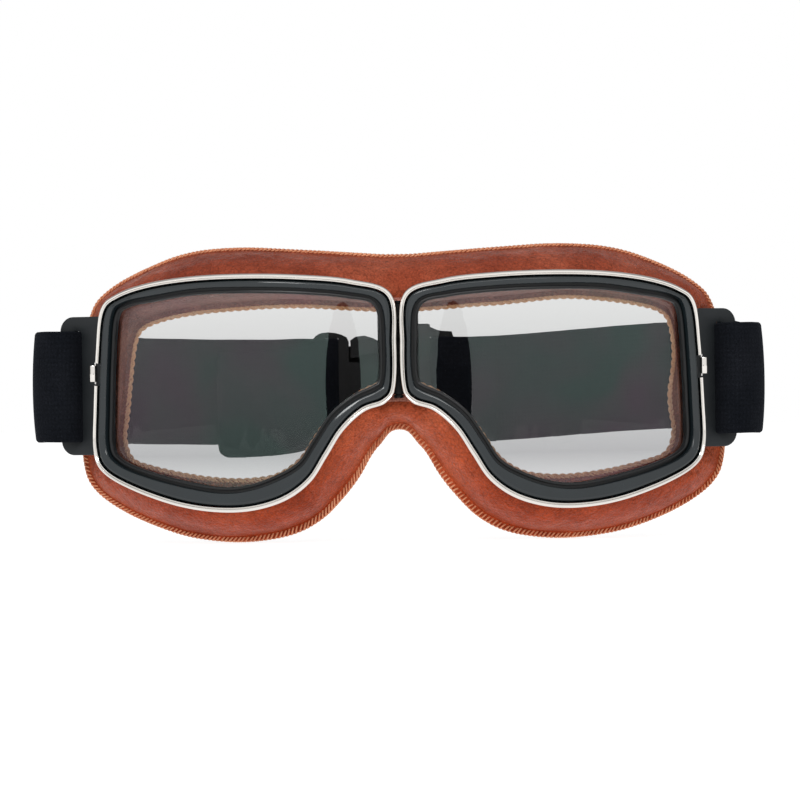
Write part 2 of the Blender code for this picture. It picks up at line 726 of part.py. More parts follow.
def paint(obj):
    key = max((k for k in COLOURS if obj.name.startswith(k)), key=len)
    colour, rough, metal = COLOURS[key]
    material = bpy.data.materials.new(obj.name + "_finish")
    material.use_nodes = True
    shader = material.node_tree.nodes["Principled BSDF"]
    shader.inputs["Base Color"].default_value = (*colour, 1.0)
    shader.inputs["Roughness"].default_value = rough
    shader.inputs["Metallic"].default_value = metal
    material.diffuse_color = (*colour, 0.35 if key == "lens" else 1.0)
    if key == "lens":
        shader.inputs["Transmission Weight"].default_value = 1.0
    obj.data.materials.clear()
    obj.data.materials.append(material)
    if obj.name.startswith(ROUND):
        obj.data.shade_smooth()
        obj.data.set_sharp_from_angle(angle=math.radians(40))


def stand_on_origin(objects):
    """Moves every mesh so that the whole stands centred on the origin, and returns the shift."""
    corners = np.array([v.co for obj in objects for v in obj.data.vertices])
    low, high = corners.min(axis=0), corners.max(axis=0)
    shift = -(low + high) / 2
    shift[2] = -low[2]
    for obj in objects:
        for vert in obj.data.vertices:
            vert.co = np.array(vert.co) + shift
    return shift


def put_origin(obj, point):
    for vert in obj.data.vertices:
        vert.co = np.array(vert.co) - point
    obj.location = point


def main():
    objects = []
    for tag, side in (("left", -1), ("right", 1)):
        objects += [eye_frame(tag, side), chrome_rim(tag, side), lens_gasket(tag, side)]
        objects += [lens(tag, side)] + rim_closure(tag, side) + strap_bracket(tag, side)
        objects += side_padding(tag, side)
    objects += list(hinge()) + brow_padding() + nose_padding()
    female, male = buckle_female(), buckle_male()
    arms = [latch_arm("upper", 1), latch_arm("lower", -1)]
    objects += [strap_left(), strap_right(), female, male] + arms
    shift = stand_on_origin(objects)
    hinge_axis = np.array([0.0, HINGE_Y, 0.0]) * SCALE + shift
    for obj in objects:
        paint(obj)
        if obj.name.endswith(RIGHT_HALF):
            put_origin(obj, hinge_axis)
    put_origin(female, np.array([0.0, BUCKLE_Y, BUCKLE_Z]) * SCALE + shift)
    for arm, sign in zip(arms, (1, -1)):
        put_origin(arm, np.array([-13.9, BUCKLE_Y, BUCKLE_Z + BUCKLE_RISE + 8.5 * sign]) * SCALE + shift)
    print("shift mm", np.round(shift * 1000, 3), "hinge axis mm", np.round(hinge_axis * 1000, 3))


clear_scene()
GROUP = bpy.data.collections.new("riding_goggles")
bpy.context.scene.collection.children.link(GROUP)
main()
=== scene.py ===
"""Riding goggles: chrome-rimmed wrapped lenses on a padded leather surround with an elastic strap."""

import math

import bmesh
import bpy
import numpy as np
from mathutils import Matrix, Vector, noise


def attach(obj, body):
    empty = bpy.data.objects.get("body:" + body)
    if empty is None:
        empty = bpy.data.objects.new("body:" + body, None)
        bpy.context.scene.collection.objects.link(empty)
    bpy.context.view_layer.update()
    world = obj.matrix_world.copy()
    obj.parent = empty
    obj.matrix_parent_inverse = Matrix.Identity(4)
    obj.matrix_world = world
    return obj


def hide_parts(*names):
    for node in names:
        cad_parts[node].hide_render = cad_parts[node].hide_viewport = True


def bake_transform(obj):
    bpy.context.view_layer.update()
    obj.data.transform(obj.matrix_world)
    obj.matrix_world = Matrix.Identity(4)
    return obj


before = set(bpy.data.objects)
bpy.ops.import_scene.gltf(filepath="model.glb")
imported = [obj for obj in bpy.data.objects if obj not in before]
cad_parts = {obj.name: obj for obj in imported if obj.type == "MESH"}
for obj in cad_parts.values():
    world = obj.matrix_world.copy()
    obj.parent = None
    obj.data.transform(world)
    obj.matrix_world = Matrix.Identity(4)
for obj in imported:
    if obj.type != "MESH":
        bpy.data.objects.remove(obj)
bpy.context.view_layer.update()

# Layout, in millimetres of the CAD's own layout; PLACE carries it into the row frame.
PLACE = np.array([0.0, -60.88, 0.173])
WRAP_RADIUS = 100.0
WRAP_APEX_X = 16.0
STRAIGHT_U = 70.0
FACE_DEPTH = 22.0
FACE_CURVE = 24.0 / 88.0**2
BRACKET_Z = (24.4, 62.6)
STRAP_Z = 43.3
BUCKLE_Z = 41.3

# Eye outline, right side: (outer x, outer z, window x, window z), clockwise from the nose top.
EYE = [
    (1.6, 67.2, 6.0, 63.7), (12.4, 71.2, 13.7, 66.1), (27.0, 72.7, 27.5, 67.4),
    (42.0, 73.2, 42.3, 67.9), (56.3, 72.8, 55.5, 67.7), (68.6, 71.2, 67.0, 66.2),
    (77.3, 68.4, 74.9, 64.8), (81.7, 64.2, 78.0, 61.9), (83.2, 52.8, 79.1, 50.8),
    (84.1, 36.6, 79.7, 36.6), (84.2, 25.9, 79.8, 27.2), (81.8, 19.9, 77.5, 23.3),
    (74.0, 15.1, 70.7, 20.3), (61.5, 10.6, 59.2, 17.2), (50.2, 8.7, 49.0, 15.5),
    (40.1, 9.0, 41.3, 16.1), (31.0, 11.7, 33.8, 18.6), (24.2, 16.6, 27.6, 22.2),
    (19.6, 23.4, 23.8, 27.8), (15.2, 30.2, 18.6, 35.2), (9.4, 35.4, 12.4, 40.0),
    (3.6, 37.6, 6.8, 42.5), (0.9, 41.6, 5.1, 44.6), (0.35, 53.6, 4.9, 53.6),
]
# Leather ring at the face: (outer x, outer z, inner x, inner z), from the second eye station on.
PAD = [
    (12.5, 79.0, 12.0, 63.4), (28.0, 80.1, 27.0, 64.4), (44.0, 80.9, 42.0, 64.0),
    (59.5, 79.7, 56.0, 62.9), (72.5, 75.4, 65.5, 61.0), (82.0, 70.4, 70.2, 58.8),
    (87.3, 64.6, 71.9, 55.4), (89.8, 52.5, 73.0, 48.5), (90.3, 36.0, 74.4, 35.5),
    (90.4, 23.5, 75.2, 29.0), (87.5, 15.0, 73.4, 23.2), (77.6, 7.9, 67.5, 20.8),
    (63.5, 2.4, 58.5, 18.7), (51.5, 0.35, 49.5, 17.4), (40.5, 0.1, 41.4, 17.2),
    (29.5, 1.9, 33.6, 18.4), (21.5, 6.0, 27.2, 22.6), (15.6, 11.8, 22.8, 29.0),
    (11.0, 17.6, 18.6, 34.4), (7.7, 23.4, 12.5, 39.6), (3.6, 28.9, 6.2, 43.0),
]
LAST = len(EYE)
BACK = np.array([0.0, 1.0, 0.0])

# How many steps the sweeps take round the outline and over the leather; the stage in metres.
BAND_STEPS, RIM_STEPS, LENS_STEPS, SEAM_STEPS, PANEL_STEPS = 260, 256, 220, 520, 13
FLOOR_REACH = 6.0
CAMERA_AWAY, HALF_VIEW = 1.5, 0.108
FRONT_Y = -0.0609
STRAP_HALF, STRAP_THICK = 15.3, 1.8


# ---- layout ----


def curve_point(points, t, closed):
    """Catmull-Rom through the control points at parameter t."""
    count = len(points)
    k = int(math.floor(t))
    if not closed:
        k = min(max(k, 0), count - 2)
    f = t - k
    near = []
    for step in (-1, 0, 1, 2):
        index = (k + step) % count if closed else min(max(k + step, 0), count - 1)
        near.append(np.array(points[index], float))
    a, b, c, d = near
    return 0.5 * (
        2 * b + (c - a) * f + (2 * a - 5 * b + 4 * c - d) * f**2 + (3 * b - a - 3 * c + d) * f**3
    )


def run_along(points):
    """Distance from the first point to each point of a path."""
    return np.concatenate([[0.0], np.cumsum(np.linalg.norm(np.diff(points, axis=0), axis=1))])


def at_places(places, run, values):
    """Columns of values read off at distances along a run."""
    return np.stack([np.interp(places, run, values[:, k]) for k in range(values.shape[1])], axis=1)


def headings(points, closed):
    """Unit direction of travel at each point of a path."""
    if closed:
        ahead, behind = np.roll(points, -1, axis=0), np.roll(points, 1, axis=0)
    else:
        ahead, behind = np.vstack([points[1:], points[-1:]]), np.vstack([points[:1], points[:-1]])
    way = ahead - behind
    return way / np.linalg.norm(way, axis=1)[:, None]


def eased(value, start, stop):
    """0 up to start, 1 from stop on, with a smooth rise between."""
    share = min(max((value - start) / (stop - start), 0.0), 1.0)
    return share * share * (3 - 2 * share)


def wrap_u(x):
    """Distance round the wrapped front at which a point lies x from the middle."""
    straight_x = WRAP_APEX_X + WRAP_RADIUS * math.sin(STRAIGHT_U / WRAP_RADIUS)
    if x <= straight_x:
        return WRAP_RADIUS * math.asin((x - WRAP_APEX_X) / WRAP_RADIUS)
    return STRAIGHT_U + (x - straight_x) / math.cos(STRAIGHT_U / WRAP_RADIUS)


def bend(u, z, d):
    """A point at distance u round the wrapped front, height z and depth d, in layout millimetres."""
    angle = min(u, STRAIGHT_U) / WRAP_RADIUS
    beyond = max(u - STRAIGHT_U, 0.0)
    x = WRAP_APEX_X + (WRAP_RADIUS - d) * math.sin(angle) + beyond * math.cos(angle)
    y = WRAP_RADIUS - (WRAP_RADIUS - d) * math.cos(angle) + beyond * math.sin(angle)
    return (x, y, z)


def station(t):
    """Outer point, unit step towards the window and band width, in the flat layout."""
    ox, oz, wx, wz = curve_point(EYE, t % LAST, True)
    outer = np.array([wrap_u(ox), oz])
    window = np.array([wrap_u(wx), wz])
    width = float(np.linalg.norm(window - outer))
    return outer, (window - outer) / width, width


def even_stations(count, start=0.0, stop=None):
    """Eye parameters spaced evenly along the outline."""
    stop = LAST if stop is None else stop
    fine = np.linspace(start, stop, 1200)
    points = np.array([bend(*station(t)[0], 0.0) for t in fine])
    run = run_along(points)
    closed = abs(stop - start - LAST) < 1e-6
    wanted = np.linspace(0, run[-1], count + 1 if closed else count)
    found = np.interp(wanted, run, fine)
    return found[:-1] if closed else found


def face_y(x):
    return FACE_DEPTH + FACE_CURVE * x * x


# ---- meshes ----


def add_object(name, data):
    obj = bpy.data.objects.new(name, data)
    bpy.context.scene.collection.objects.link(obj)
    return obj


def rows_to_object(name, rows, ring_u, ring_v, side=1, caps=False, uv=True, smooth=35):
    """A grid of points in layout millimetres to a smooth-shaded object in the row frame."""
    rows = np.asarray(rows, float)
    n, m, _ = rows.shape
    points = ((rows + PLACE) * 0.001).reshape(-1, 3)
    points[:, 0] *= side
    faces = []
    for i in range(n if ring_u else n - 1):
        for j in range(m if ring_v else m - 1):
            a, b = i * m + j, i * m + (j + 1) % m
            c, d = ((i + 1) % n) * m + (j + 1) % m, ((i + 1) % n) * m + j
            faces.append((a, b, c, d))
    if caps and not ring_u:
        faces.append(tuple(range(m))[::-1])
        faces.append(tuple((n - 1) * m + j for j in range(m)))
    mesh = bpy.data.meshes.new(name)
    mesh.from_pydata([tuple(p) for p in points], [], faces)
    if uv:
        put_uv(mesh, rows, ring_u, ring_v, faces)
    return finish(name, mesh, smooth)


def put_uv(mesh, rows, ring_u, ring_v, faces):
    """UVs in metres: u runs along the sweep, v round the section."""
    n, m, _ = rows.shape
    along = np.linalg.norm(np.diff(np.concatenate([rows, rows[:1]]), axis=0), axis=2).mean(axis=1)
    u = np.concatenate([[0.0], np.cumsum(along)])
    loop = np.concatenate([rows, rows[:, :1]], axis=1)
    across = np.linalg.norm(np.diff(loop, axis=1), axis=2).mean(axis=0)
    v = np.concatenate([[0.0], np.cumsum(across)])
    layer = mesh.uv_layers.new(name="sweep")
    values = []
    count_v = m if ring_v else m - 1
    for k, face in enumerate(faces):
        if len(face) != 4 or k >= (n if ring_u else n - 1) * count_v:
            values += [(0.0, 0.0)] * len(face)
            continue
        i, j = divmod(k, count_v)
        values += [(u[i], v[j]), (u[i], v[j + 1]), (u[i + 1], v[j + 1]), (u[i + 1], v[j])]
    layer.data.foreach_set("uv", (np.array(values) * 0.001).ravel())


def finish(name, mesh, smooth):
    bm = bmesh.new()
    bm.from_mesh(mesh)
    bmesh.ops.recalc_face_normals(bm, faces=bm.faces)
    if bm.calc_volume(signed=True) < 0:
        bmesh.ops.reverse_faces(bm, faces=bm.faces)
    bm.to_mesh(mesh)
    bm.free()
    mesh.shade_smooth()
    if smooth:
        mesh.set_sharp_from_angle(angle=math.radians(smooth))
    return add_object(name, mesh)


def swept(name, stations, profile, closed, side):
    """A (inward offset, depth) profile swept round the eye outline."""
    rows = []
    for t in stations:
        outer, inward, width = station(t)
        rows.append([bend(*(outer + inward * o), d) for o, d in profile(width, t)])
    return rows_to_object(name, rows, closed, True, side, caps=not closed)


def bent_into_place(name, bm, place, cuts, side, smooth):
    """Cuts a flat mesh across where it will bend, carries it into place and makes it an object."""
    for cut in cuts:
        everything = bm.verts[:] + bm.edges[:] + bm.faces[:]
        bmesh.ops.bisect_plane(bm, geom=everything, dist=1e-6, plane_co=(cut, 0, 0), plane_no=(1, 0, 0))
    bmesh.ops.triangulate(bm, faces=[f for f in bm.faces if len(f.verts) > 4])
    for vert in bm.verts:
        vert.co = (np.array(place(*vert.co)) + PLACE) * 0.001
        vert.co.x *= side
    mesh = bpy.data.meshes.new(name)
    bm.to_mesh(mesh)
    bm.free()
    return finish(name, mesh, smooth)


def prism(name, outline, low, high, bevel, place, cuts, side):
    """A flat outline made solid, its rims bevelled, then bent into place."""
    bm = bmesh.new()
    bottom = [bm.verts.new((a, b, low)) for a, b in outline]
    top = [bm.verts.new((a, b, high)) for a, b in outline]
    bm.faces.new(bottom[::-1])
    bm.faces.new(top)
    for i in range(len(outline)):
        j = (i + 1) % len(outline)
        bm.faces.new((bottom[i], bottom[j], top[j], top[i]))
    rims = [e for e in bm.edges if abs(e.verts[0].co.z - e.verts[1].co.z) < 1e-9]
    bmesh.ops.bevel(bm, geom=rims, offset=bevel, segments=1, affect="EDGES", profile=0.5)
    return bent_into_place(name, bm, place, cuts, side, 30)


def lathe(name, base, axis, rings, side, segments=32):
    """Turned piece: (radius, height) rings about an axis through base."""
    axis = np.array(axis, float) / np.linalg.norm(axis)
    across = np.cross(axis, (0.0, 1.0, 0.0) if abs(axis[1]) < 0.9 else (1.0, 0.0, 0.0))
    across /= np.linalg.norm(across)
    other = np.cross(axis, across)
    angles = np.linspace(0, 2 * math.pi, segments, endpoint=False)
    rows = []
    for angle in angles:
        spoke = across * math.cos(angle) + other * math.sin(angle)
        rows.append([np.array(base) + axis * h + spoke * max(r, 1e-4) for r, h in rings])
    return rows_to_object(name, rows, True, False, side, uv=False)


def tube(name, path, radius, sides, closed, side=1):
    """Round thread along a path of layout points."""
    path = np.asarray(path, float)
    way = headings(path, closed)
    normal = np.zeros_like(way)
    hint = np.array([0.3, 0.9, 0.2])
    for k, w in enumerate(way):
        hint = hint - w * np.dot(hint, w)
        hint /= np.linalg.norm(hint)
        normal[k] = hint
    binormal = np.cross(way, normal)
    rows = []
    for j in range(sides):
        angle = 2 * math.pi * j / sides
        rows.append(path + (normal * math.cos(angle) + binormal * math.sin(angle)) * radius)
    rows = np.stack(rows, axis=1)
    return rows_to_object(name, rows, closed, True, side, caps=not closed, smooth=0)


def round_corners(a0, a1, b0, b1, radii, steps):
    corners = ((a0, b0, 180), (a1, b0, 270), (a1, b1, 0), (a0, b1, 90))
    outline = []
    for (a, b, start), radius in zip(corners, radii):
        ca = a + radius * (1 if a == a0 else -1)
        cb = b + radius * (1 if b == b0 else -1)
        for k in range(steps + 1):
            angle = math.radians(start + 90.0 * k / steps)
            outline.append((ca + radius * math.cos(angle), cb + radius * math.sin(angle)))
    return outline


def join(name, parts):
    """Several meshes as one object."""
    bm = bmesh.new()
    for part in parts:
        part.data.transform(part.matrix_world)
        bm.from_mesh(part.data)
    mesh = bpy.data.meshes.new(name)
    bm.to_mesh(mesh)
    bm.free()
    for part in parts:
        bpy.data.objects.remove(part)
    return add_object(name, mesh)


# ---- materials ----


def set_stops(band, stops):
    """Fills a colour ramp from (place, grey or colour) pairs."""
    while len(band.elements) < len(stops):
        band.elements.new(0.5)
    for element, (place, colour) in zip(band.elements, stops):
        element.position = place
        element.color = (*colour, 1.0) if hasattr(colour, "__len__") else (colour,) * 3 + (1.0,)


class Look:
    """A node material built a line at a time."""

    def __init__(self, name):
        self.material = bpy.data.materials.new(name)
        self.material.use_nodes = True
        self.tree = self.material.node_tree
        self.shader = self.tree.nodes["Principled BSDF"]

    def node(self, kind, **settings):
        made = self.tree.nodes.new(kind)
        for key, value in settings.items():
            if key in made.inputs:
                made.inputs[key].default_value = value
            else:
                setattr(made, key, value)
        return made

    def link(self, out, into):
        self.tree.links.new(out, into)

    def set(self, **values):
        for key, value in values.items():
            self.shader.inputs[key.replace("_", " ")].default_value = value

    def coords(self, kind="Object"):
        return self.node("ShaderNodeTexCoord").outputs[kind]

    def scaled(self, vector, scale):
        mapping = self.node("ShaderNodeMapping")
        mapping.inputs["Scale"].default_value = scale
        self.link(vector, mapping.inputs["Vector"])
        return mapping.outputs["Vector"]

    def noise(self, vector, scale, detail=3.0, rough=0.55, distortion=0.0):
        made = self.node("ShaderNodeTexNoise")
        made.inputs["Scale"].default_value = scale
        made.inputs["Detail"].default_value = detail
        made.inputs["Roughness"].default_value = rough
        made.inputs["Distortion"].default_value = distortion
        self.link(vector, made.inputs["Vector"])
        return made.outputs["Fac"]

    def cells(self, vector, scale):
        made = self.node("ShaderNodeTexVoronoi", feature="DISTANCE_TO_EDGE")
        made.inputs["Scale"].default_value = scale
        self.link(vector, made.inputs["Vector"])
        return made.outputs["Distance"]

    def warped(self, vector, scale, amount):
        """The vector pushed about by noise, so that cells lose their regular shape."""
        shake = self.node("ShaderNodeTexNoise")
        shake.inputs["Scale"].default_value = scale
        self.link(vector, shake.inputs["Vector"])
        spread = self.node("ShaderNodeVectorMath", operation="MULTIPLY_ADD")
        self.link(shake.outputs["Color"], spread.inputs[0])
        spread.inputs[1].default_value = (amount,) * 3
        self.link(vector, spread.inputs[2])
        return spread.outputs[0]

    def ramp(self, value, *stops):
        made = self.node("ShaderNodeValToRGB")
        set_stops(made.color_ramp, stops)
        self.link(value, made.inputs["Fac"])
        return made.outputs["Color"]

    def math(self, kind, a, b, c=None):
        made = self.node("ShaderNodeMath", operation=kind)
        for index, value in enumerate((a, b, c)):
            if value is None:
                continue
            if isinstance(value, (int, float)):
                made.inputs[index].default_value = value
            else:
                self.link(value, made.inputs[index])
        return made.outputs[0]

    def mix(self, factor, a, b, kind="MIX"):
        made = self.node("ShaderNodeMix", data_type="RGBA", blend_type=kind)
        for socket, value in ((made.inputs[0], factor), (made.inputs[6], a), (made.inputs[7], b)):
            if isinstance(value, (int, float)):
                socket.default_value = value
            elif isinstance(value, tuple):
                socket.default_value = (*value, 1.0)
            else:
                self.link(value, socket)
        return made.outputs[2]

    def bump(self, height, strength, distance, after=None):
        made = self.node("ShaderNodeBump")
        made.inputs["Strength"].default_value = strength
        made.inputs["Distance"].default_value = distance
        self.link(height, made.inputs["Height"])
        if after is not None:
            self.link(after, made.inputs["Normal"])
        return made.outputs["Normal"]

    def colour(self, socket):
        self.link(socket, self.shader.inputs["Base Color"])

    def rough(self, socket):
        self.link(socket, self.shader.inputs["Roughness"])

    def normal(self, socket):
        self.link(socket, self.shader.inputs["Normal"])


def leather_look(name, dark, base, light):
    look = Look(name)
    at = look.coords()
    patch = look.noise(at, 55.0, 5.0, 0.62)
    cloud = look.noise(at, 240.0, 4.0, 0.6, 0.8)
    pores = look.noise(at, 1500.0, 4.0, 0.65)
    cells = look.cells(look.warped(at, 500.0, 0.0012), 780.0)
    crease = look.ramp(cells, (0.0, 0.0), (0.16, 1.0))
    colour = look.ramp(patch, (0.30, dark), (0.52, base), (0.76, light))
    colour = look.mix(1.0, colour, look.ramp(cloud, (0.30, 0.82), (0.55, 1.0), (0.75, 1.14)), "MULTIPLY")
    # Painted shade: the colour is darkened a little along the grain's creases, where the cells meet.
    colour = look.mix(1.0, colour, look.ramp(cells, (0.0, 0.83), (0.12, 1.02)), "MULTIPLY")
    colour = look.mix(1.0, colour, look.ramp(pores, (0.34, 0.70), (0.60, 1.12)), "MULTIPLY")
    # Painted light by height: the colour is duller and cooler towards the brow, which sits in shade, and
    # warmer at the lower lobes, which catch light from below.
    split = look.node("ShaderNodeSeparateXYZ")
    look.link(at, split.inputs[0])
    height = look.math("MULTIPLY", split.outputs["Z"], 11.0)
    low, high = (1.02, 0.72, 0.48), (0.86, 0.91, 1.16)
    painted_light_by_height = look.ramp(height, (0.066, low), (0.33, 1.0), (0.6, 1.0), (0.83, high))
    colour = look.mix(1.0, colour, painted_light_by_height, "MULTIPLY")
    # Painted light: the colour is lifted and made paler round the middle of the nose arch, fully within about
    # 8 mm and fading out by about 34 mm, because the arch sits in shade under the frames.
    painted_light_near_nose = look.node("ShaderNodeVectorMath", operation="DISTANCE")
    look.link(look.scaled(at, (1.0, 0.0, 1.0)), painted_light_near_nose.inputs[0])
    painted_light_near_nose.inputs[1].default_value = (0.0, 0.0, 0.034)
    reach = look.math("MULTIPLY", painted_light_near_nose.outputs["Value"], 25.0)
    look.colour(look.mix(1.0, colour, look.ramp(reach, (0.2, (1.36, 1.46, 1.56)), (0.85, 1.0)), "MULTIPLY"))
    look.rough(look.ramp(cloud, (0.3, 0.44), (0.7, 0.28)))
    wrinkle = look.noise(at, 300.0, 5.0, 0.62, 1.4)
    first = look.bump(crease, 0.5, 0.00020)
    second = look.bump(wrinkle, 0.9, 0.0011, first)
    look.normal(look.bump(pores, 0.7, 0.00022, second))
    look.set(Specular_IOR_Level=0.15, Coat_Weight=0.008, Coat_Roughness=0.25)
    look.shader.inputs["Specular Tint"].default_value = (1.0, 0.66, 0.48, 1.0)
    return look.material


def lining_look(name):
    look = Look(name)
    at = look.coords()
    nap = look.noise(at, 1400.0, 4.0, 0.7)
    patch = look.noise(at, 60.0, 3.0, 0.6)
    colour = look.ramp(patch, (0.3, (0.20, 0.105, 0.075)), (0.7, (0.30, 0.17, 0.125)))
    look.colour(look.mix(1.0, colour, look.ramp(nap, (0.3, 0.75), (0.7, 1.15)), "MULTIPLY"))
    look.set(Roughness=0.85, Sheen_Weight=0.35, Sheen_Roughness=0.5)
    look.normal(look.bump(nap, 0.5, 0.0002))
    return look.material


def thread_look(name, base, light, glow=0.0):
    look = Look(name)
    # Painted light: glow gives the thread a faint orange glow of its own, lifting thread that sits in shade.
    look.set(Emission_Strength=glow)
    look.shader.inputs["Emission Color"].default_value = (0.85, 0.42, 0.20, 1.0)
    at = look.coords()
    strand = look.noise(at, 2600.0, 3.0, 0.6)
    patch = look.noise(at, 120.0, 2.0)
    colour = look.ramp(patch, (0.3, base), (0.7, light))
    look.colour(look.mix(1.0, colour, look.ramp(strand, (0.3, 0.7), (0.7, 1.12)), "MULTIPLY"))
    look.set(Roughness=0.62, Sheen_Weight=0.2, Sheen_Roughness=0.4)
    look.normal(look.bump(strand, 0.6, 0.00012))
    return look.material


def webbing_look(name):
    """Knit elastic: fine ribs along the strap, rows of loops across, brushed with fuzz."""
    look = Look(name)
    uv = look.coords("UV")
    at = look.coords()
    rows = look.node("ShaderNodeTexWave", wave_type="BANDS", bands_direction="X", wave_profile="SIN")
    rows.inputs["Scale"].default_value = 330.0
    rows.inputs["Distortion"].default_value = 3.0
    rows.inputs["Detail"].default_value = 3.0
    look.link(uv, rows.inputs["Vector"])
    ribs = look.node("ShaderNodeTexWave", wave_type="BANDS", bands_direction="Y", wave_profile="SIN")
    ribs.inputs["Scale"].default_value = 240.0
    ribs.inputs["Distortion"].default_value = 2.5
    look.link(uv, ribs.inputs["Vector"])
    weave = look.math("MULTIPLY", rows.outputs["Fac"], ribs.outputs["Fac"])
    fuzz = look.noise(at, 2600.0, 5.0, 0.75)
    tint = look.ramp(look.noise(at, 90.0), (0.3, (0.0045, 0.0054, 0.0074)), (0.7, (0.0075, 0.0084, 0.011)))
    both = look.mix(1.0, tint, look.ramp(weave, (0.0, 0.86), (0.8, 1.08)), "MULTIPLY")
    look.colour(look.mix(1.0, both, look.ramp(fuzz, (0.35, 0.55), (0.72, 1.9)), "MULTIPLY"))
    look.set(Roughness=1.0, Specular_IOR_Level=0.04, Sheen_Weight=0.035, Sheen_Roughness=0.4)
    look.shader.inputs["Sheen Tint"].default_value = (0.55, 0.62, 0.8, 1.0)
    first = look.bump(weave, 0.14, 0.0003)
    look.normal(look.bump(fuzz, 0.7, 0.00025, first))
    return look.material


def chrome_look(name, tint=(0.80, 0.77, 0.73), rough=(0.05, 0.10)):
    look = Look(name)
    at = look.coords()
    haze = look.noise(at, 140.0, 4.0, 0.6)
    scuff = look.noise(look.scaled(at, (1.0, 1.0, 6.0)), 900.0, 3.0)
    look.colour(look.ramp(haze, (0.3, tuple(c * 0.95 for c in tint)), (0.7, tint)))
    look.rough(look.ramp(scuff, (0.35, rough[0]), (0.75, rough[1])))
    look.set(Metallic=1.0)
    look.normal(look.bump(haze, 0.03, 0.0002))
    return look.material


def plastic_look(name, base, rough, grain=0.05, spec=0.5, scale=1800.0):
    look = Look(name)
    at = look.coords()
    fine = look.noise(at, scale, 3.0, 0.6)
    patch = look.noise(at, 70.0, 3.0, 0.6)
    look.colour(look.ramp(patch, (0.3, tuple(c * 0.85 for c in base)), (0.7, tuple(c * 1.15 for c in base))))
    look.rough(look.ramp(patch, (0.3, rough * 0.85), (0.7, rough * 1.2)))
    look.set(Specular_IOR_Level=spec)
    look.normal(look.bump(fine, grain, 0.00012))
    return look.material


def lens_look(name):
    look = Look(name)
    at = look.coords()
    sweep = look.noise(look.scaled(at, (1.0, 0.4, 1.0)), 26.0, 2.0, 0.5, 0.6)
    film = look.ramp(sweep, (0.36, (0.72, 1.0, 0.92)), (0.5, (0.93, 0.95, 0.97)), (0.64, (1.0, 0.82, 0.96)))
    look.link(film, look.shader.inputs["Specular Tint"])
    smear = look.noise(at, 30.0, 4.0, 0.6)
    look.rough(look.ramp(smear, (0.45, 0.0), (0.8, 0.012)))
    look.set(Transmission_Weight=1.0, IOR=1.49)
    # Painted shadow: the lens's grey tint is darkest about 24 mm up, just below the strap, and lightens
    # towards the top. It stands in for the strap's shadow on the backdrop seen through the lens.
    height = look.node("ShaderNodeSeparateXYZ")
    look.link(at, height.inputs[0])
    level = look.math("MULTIPLY_ADD", height.outputs["Z"], 22.0, -0.4)
    look.colour(look.ramp(
        level, (0.0, (0.56, 0.565, 0.57)), (0.13, (0.42, 0.425, 0.43)),
        (0.5, (0.58, 0.585, 0.585)), (1.0, (0.74, 0.745, 0.74)),
    ))
    return look.material


LOOKS = {}


def make_looks():
    tan = (0.265, 0.042, 0.0150), (0.370, 0.067, 0.0245), (0.46, 0.102, 0.041)
    # pale is a lighter copy of tan for the padding's inner wall. This is painted light, lifting a wall that
    # sits in shade behind the lens.
    pale = (0.46, 0.17, 0.12), (0.56, 0.23, 0.16), (0.64, 0.29, 0.21)
    LOOKS["leather"] = leather_look("leather", *tan)
    LOOKS["leather_inner"] = leather_look("leather_inner", *pale)
    LOOKS["lining"] = lining_look("lining")
    LOOKS["thread"] = thread_look("thread", (0.60, 0.20, 0.085), (0.76, 0.33, 0.17))
    # The inner thread is a lighter copy of the thread with a faint glow. This is painted light for the inner
    # seam, which sits in shade behind the frame and lens.
    LOOKS["thread_inner"] = thread_look("thread_inner", (0.90, 0.50, 0.27), (0.98, 0.70, 0.46), 0.16)
    LOOKS["webbing"] = webbing_look("webbing")
    LOOKS["strap_thread"] = thread_look("strap_thread", (0.02, 0.022, 0.026), (0.05, 0.052, 0.06))
    LOOKS["chrome"] = chrome_look("chrome")
    LOOKS["steel"] = chrome_look("steel", (0.62, 0.61, 0.60), (0.18, 0.32))
    LOOKS["frame"] = plastic_look("frame_plastic", (0.0100, 0.0148, 0.0172), 0.10, 0.015, 0.52)
    LOOKS["gasket"] = plastic_look("gasket_rubber", (0.004, 0.0045, 0.005), 0.34, 0.08, 0.35)
    LOOKS["bracket"] = plastic_look("bracket_paint", (0.010, 0.0125, 0.0145), 0.55, 0.25, 0.32, 2400.0)
    LOOKS["hinge"] = plastic_look("hinge_paint", (0.005, 0.0055, 0.006), 0.42, 0.2, 0.25)
    LOOKS["buckle"] = plastic_look("buckle_plastic", (0.0045, 0.005, 0.0055), 0.45, 0.3, 0.22, 1500.0)
    LOOKS["lens"] = lens_look("lens_clear")


def paint(obj, look):
    obj.data.materials.clear()
    obj.data.materials.append(LOOKS[look])
    return obj


# ---- eye units ----


def frame_profile(w, _):
    """Glossy band: groove by the rim, crowned face, ledge line and a wall down to the lens."""
    return (
        (1.33, 2.7), (1.76, 2.5), (1.79, 0.9), (1.87, 0.48), (2.04, 0.24), (2.35, 0.10),
        (2.72, 0.10), (w - 2.06, 0.30), (w - 1.88, 0.38), (w - 1.74, 0.56), (w - 1.66, 1.0),
        (w - 1.62, 2.2), (w - 2.6, 2.2),
        (w - 2.6, 4.75), (w - 2.75, 4.9), (1.75, 4.9), (1.42, 4.7), (1.33, 4.3),
    )


def gasket_profile(w, _):
    return (
        (w - 2.4, 2.4), (w - 0.92, 2.38), (w - 0.92, 1.62), (w - 0.80, 1.42), (w - 0.5, 1.34),
        (w - 0.2, 1.46), (w - 0.04, 1.75), (w, 2.1), (w, 2.9), (w - 1.8, 2.9),
        (w - 1.8, 5.45), (w - 1.95, 5.6), (w - 2.25, 5.6), (w - 2.4, 5.45),
    )


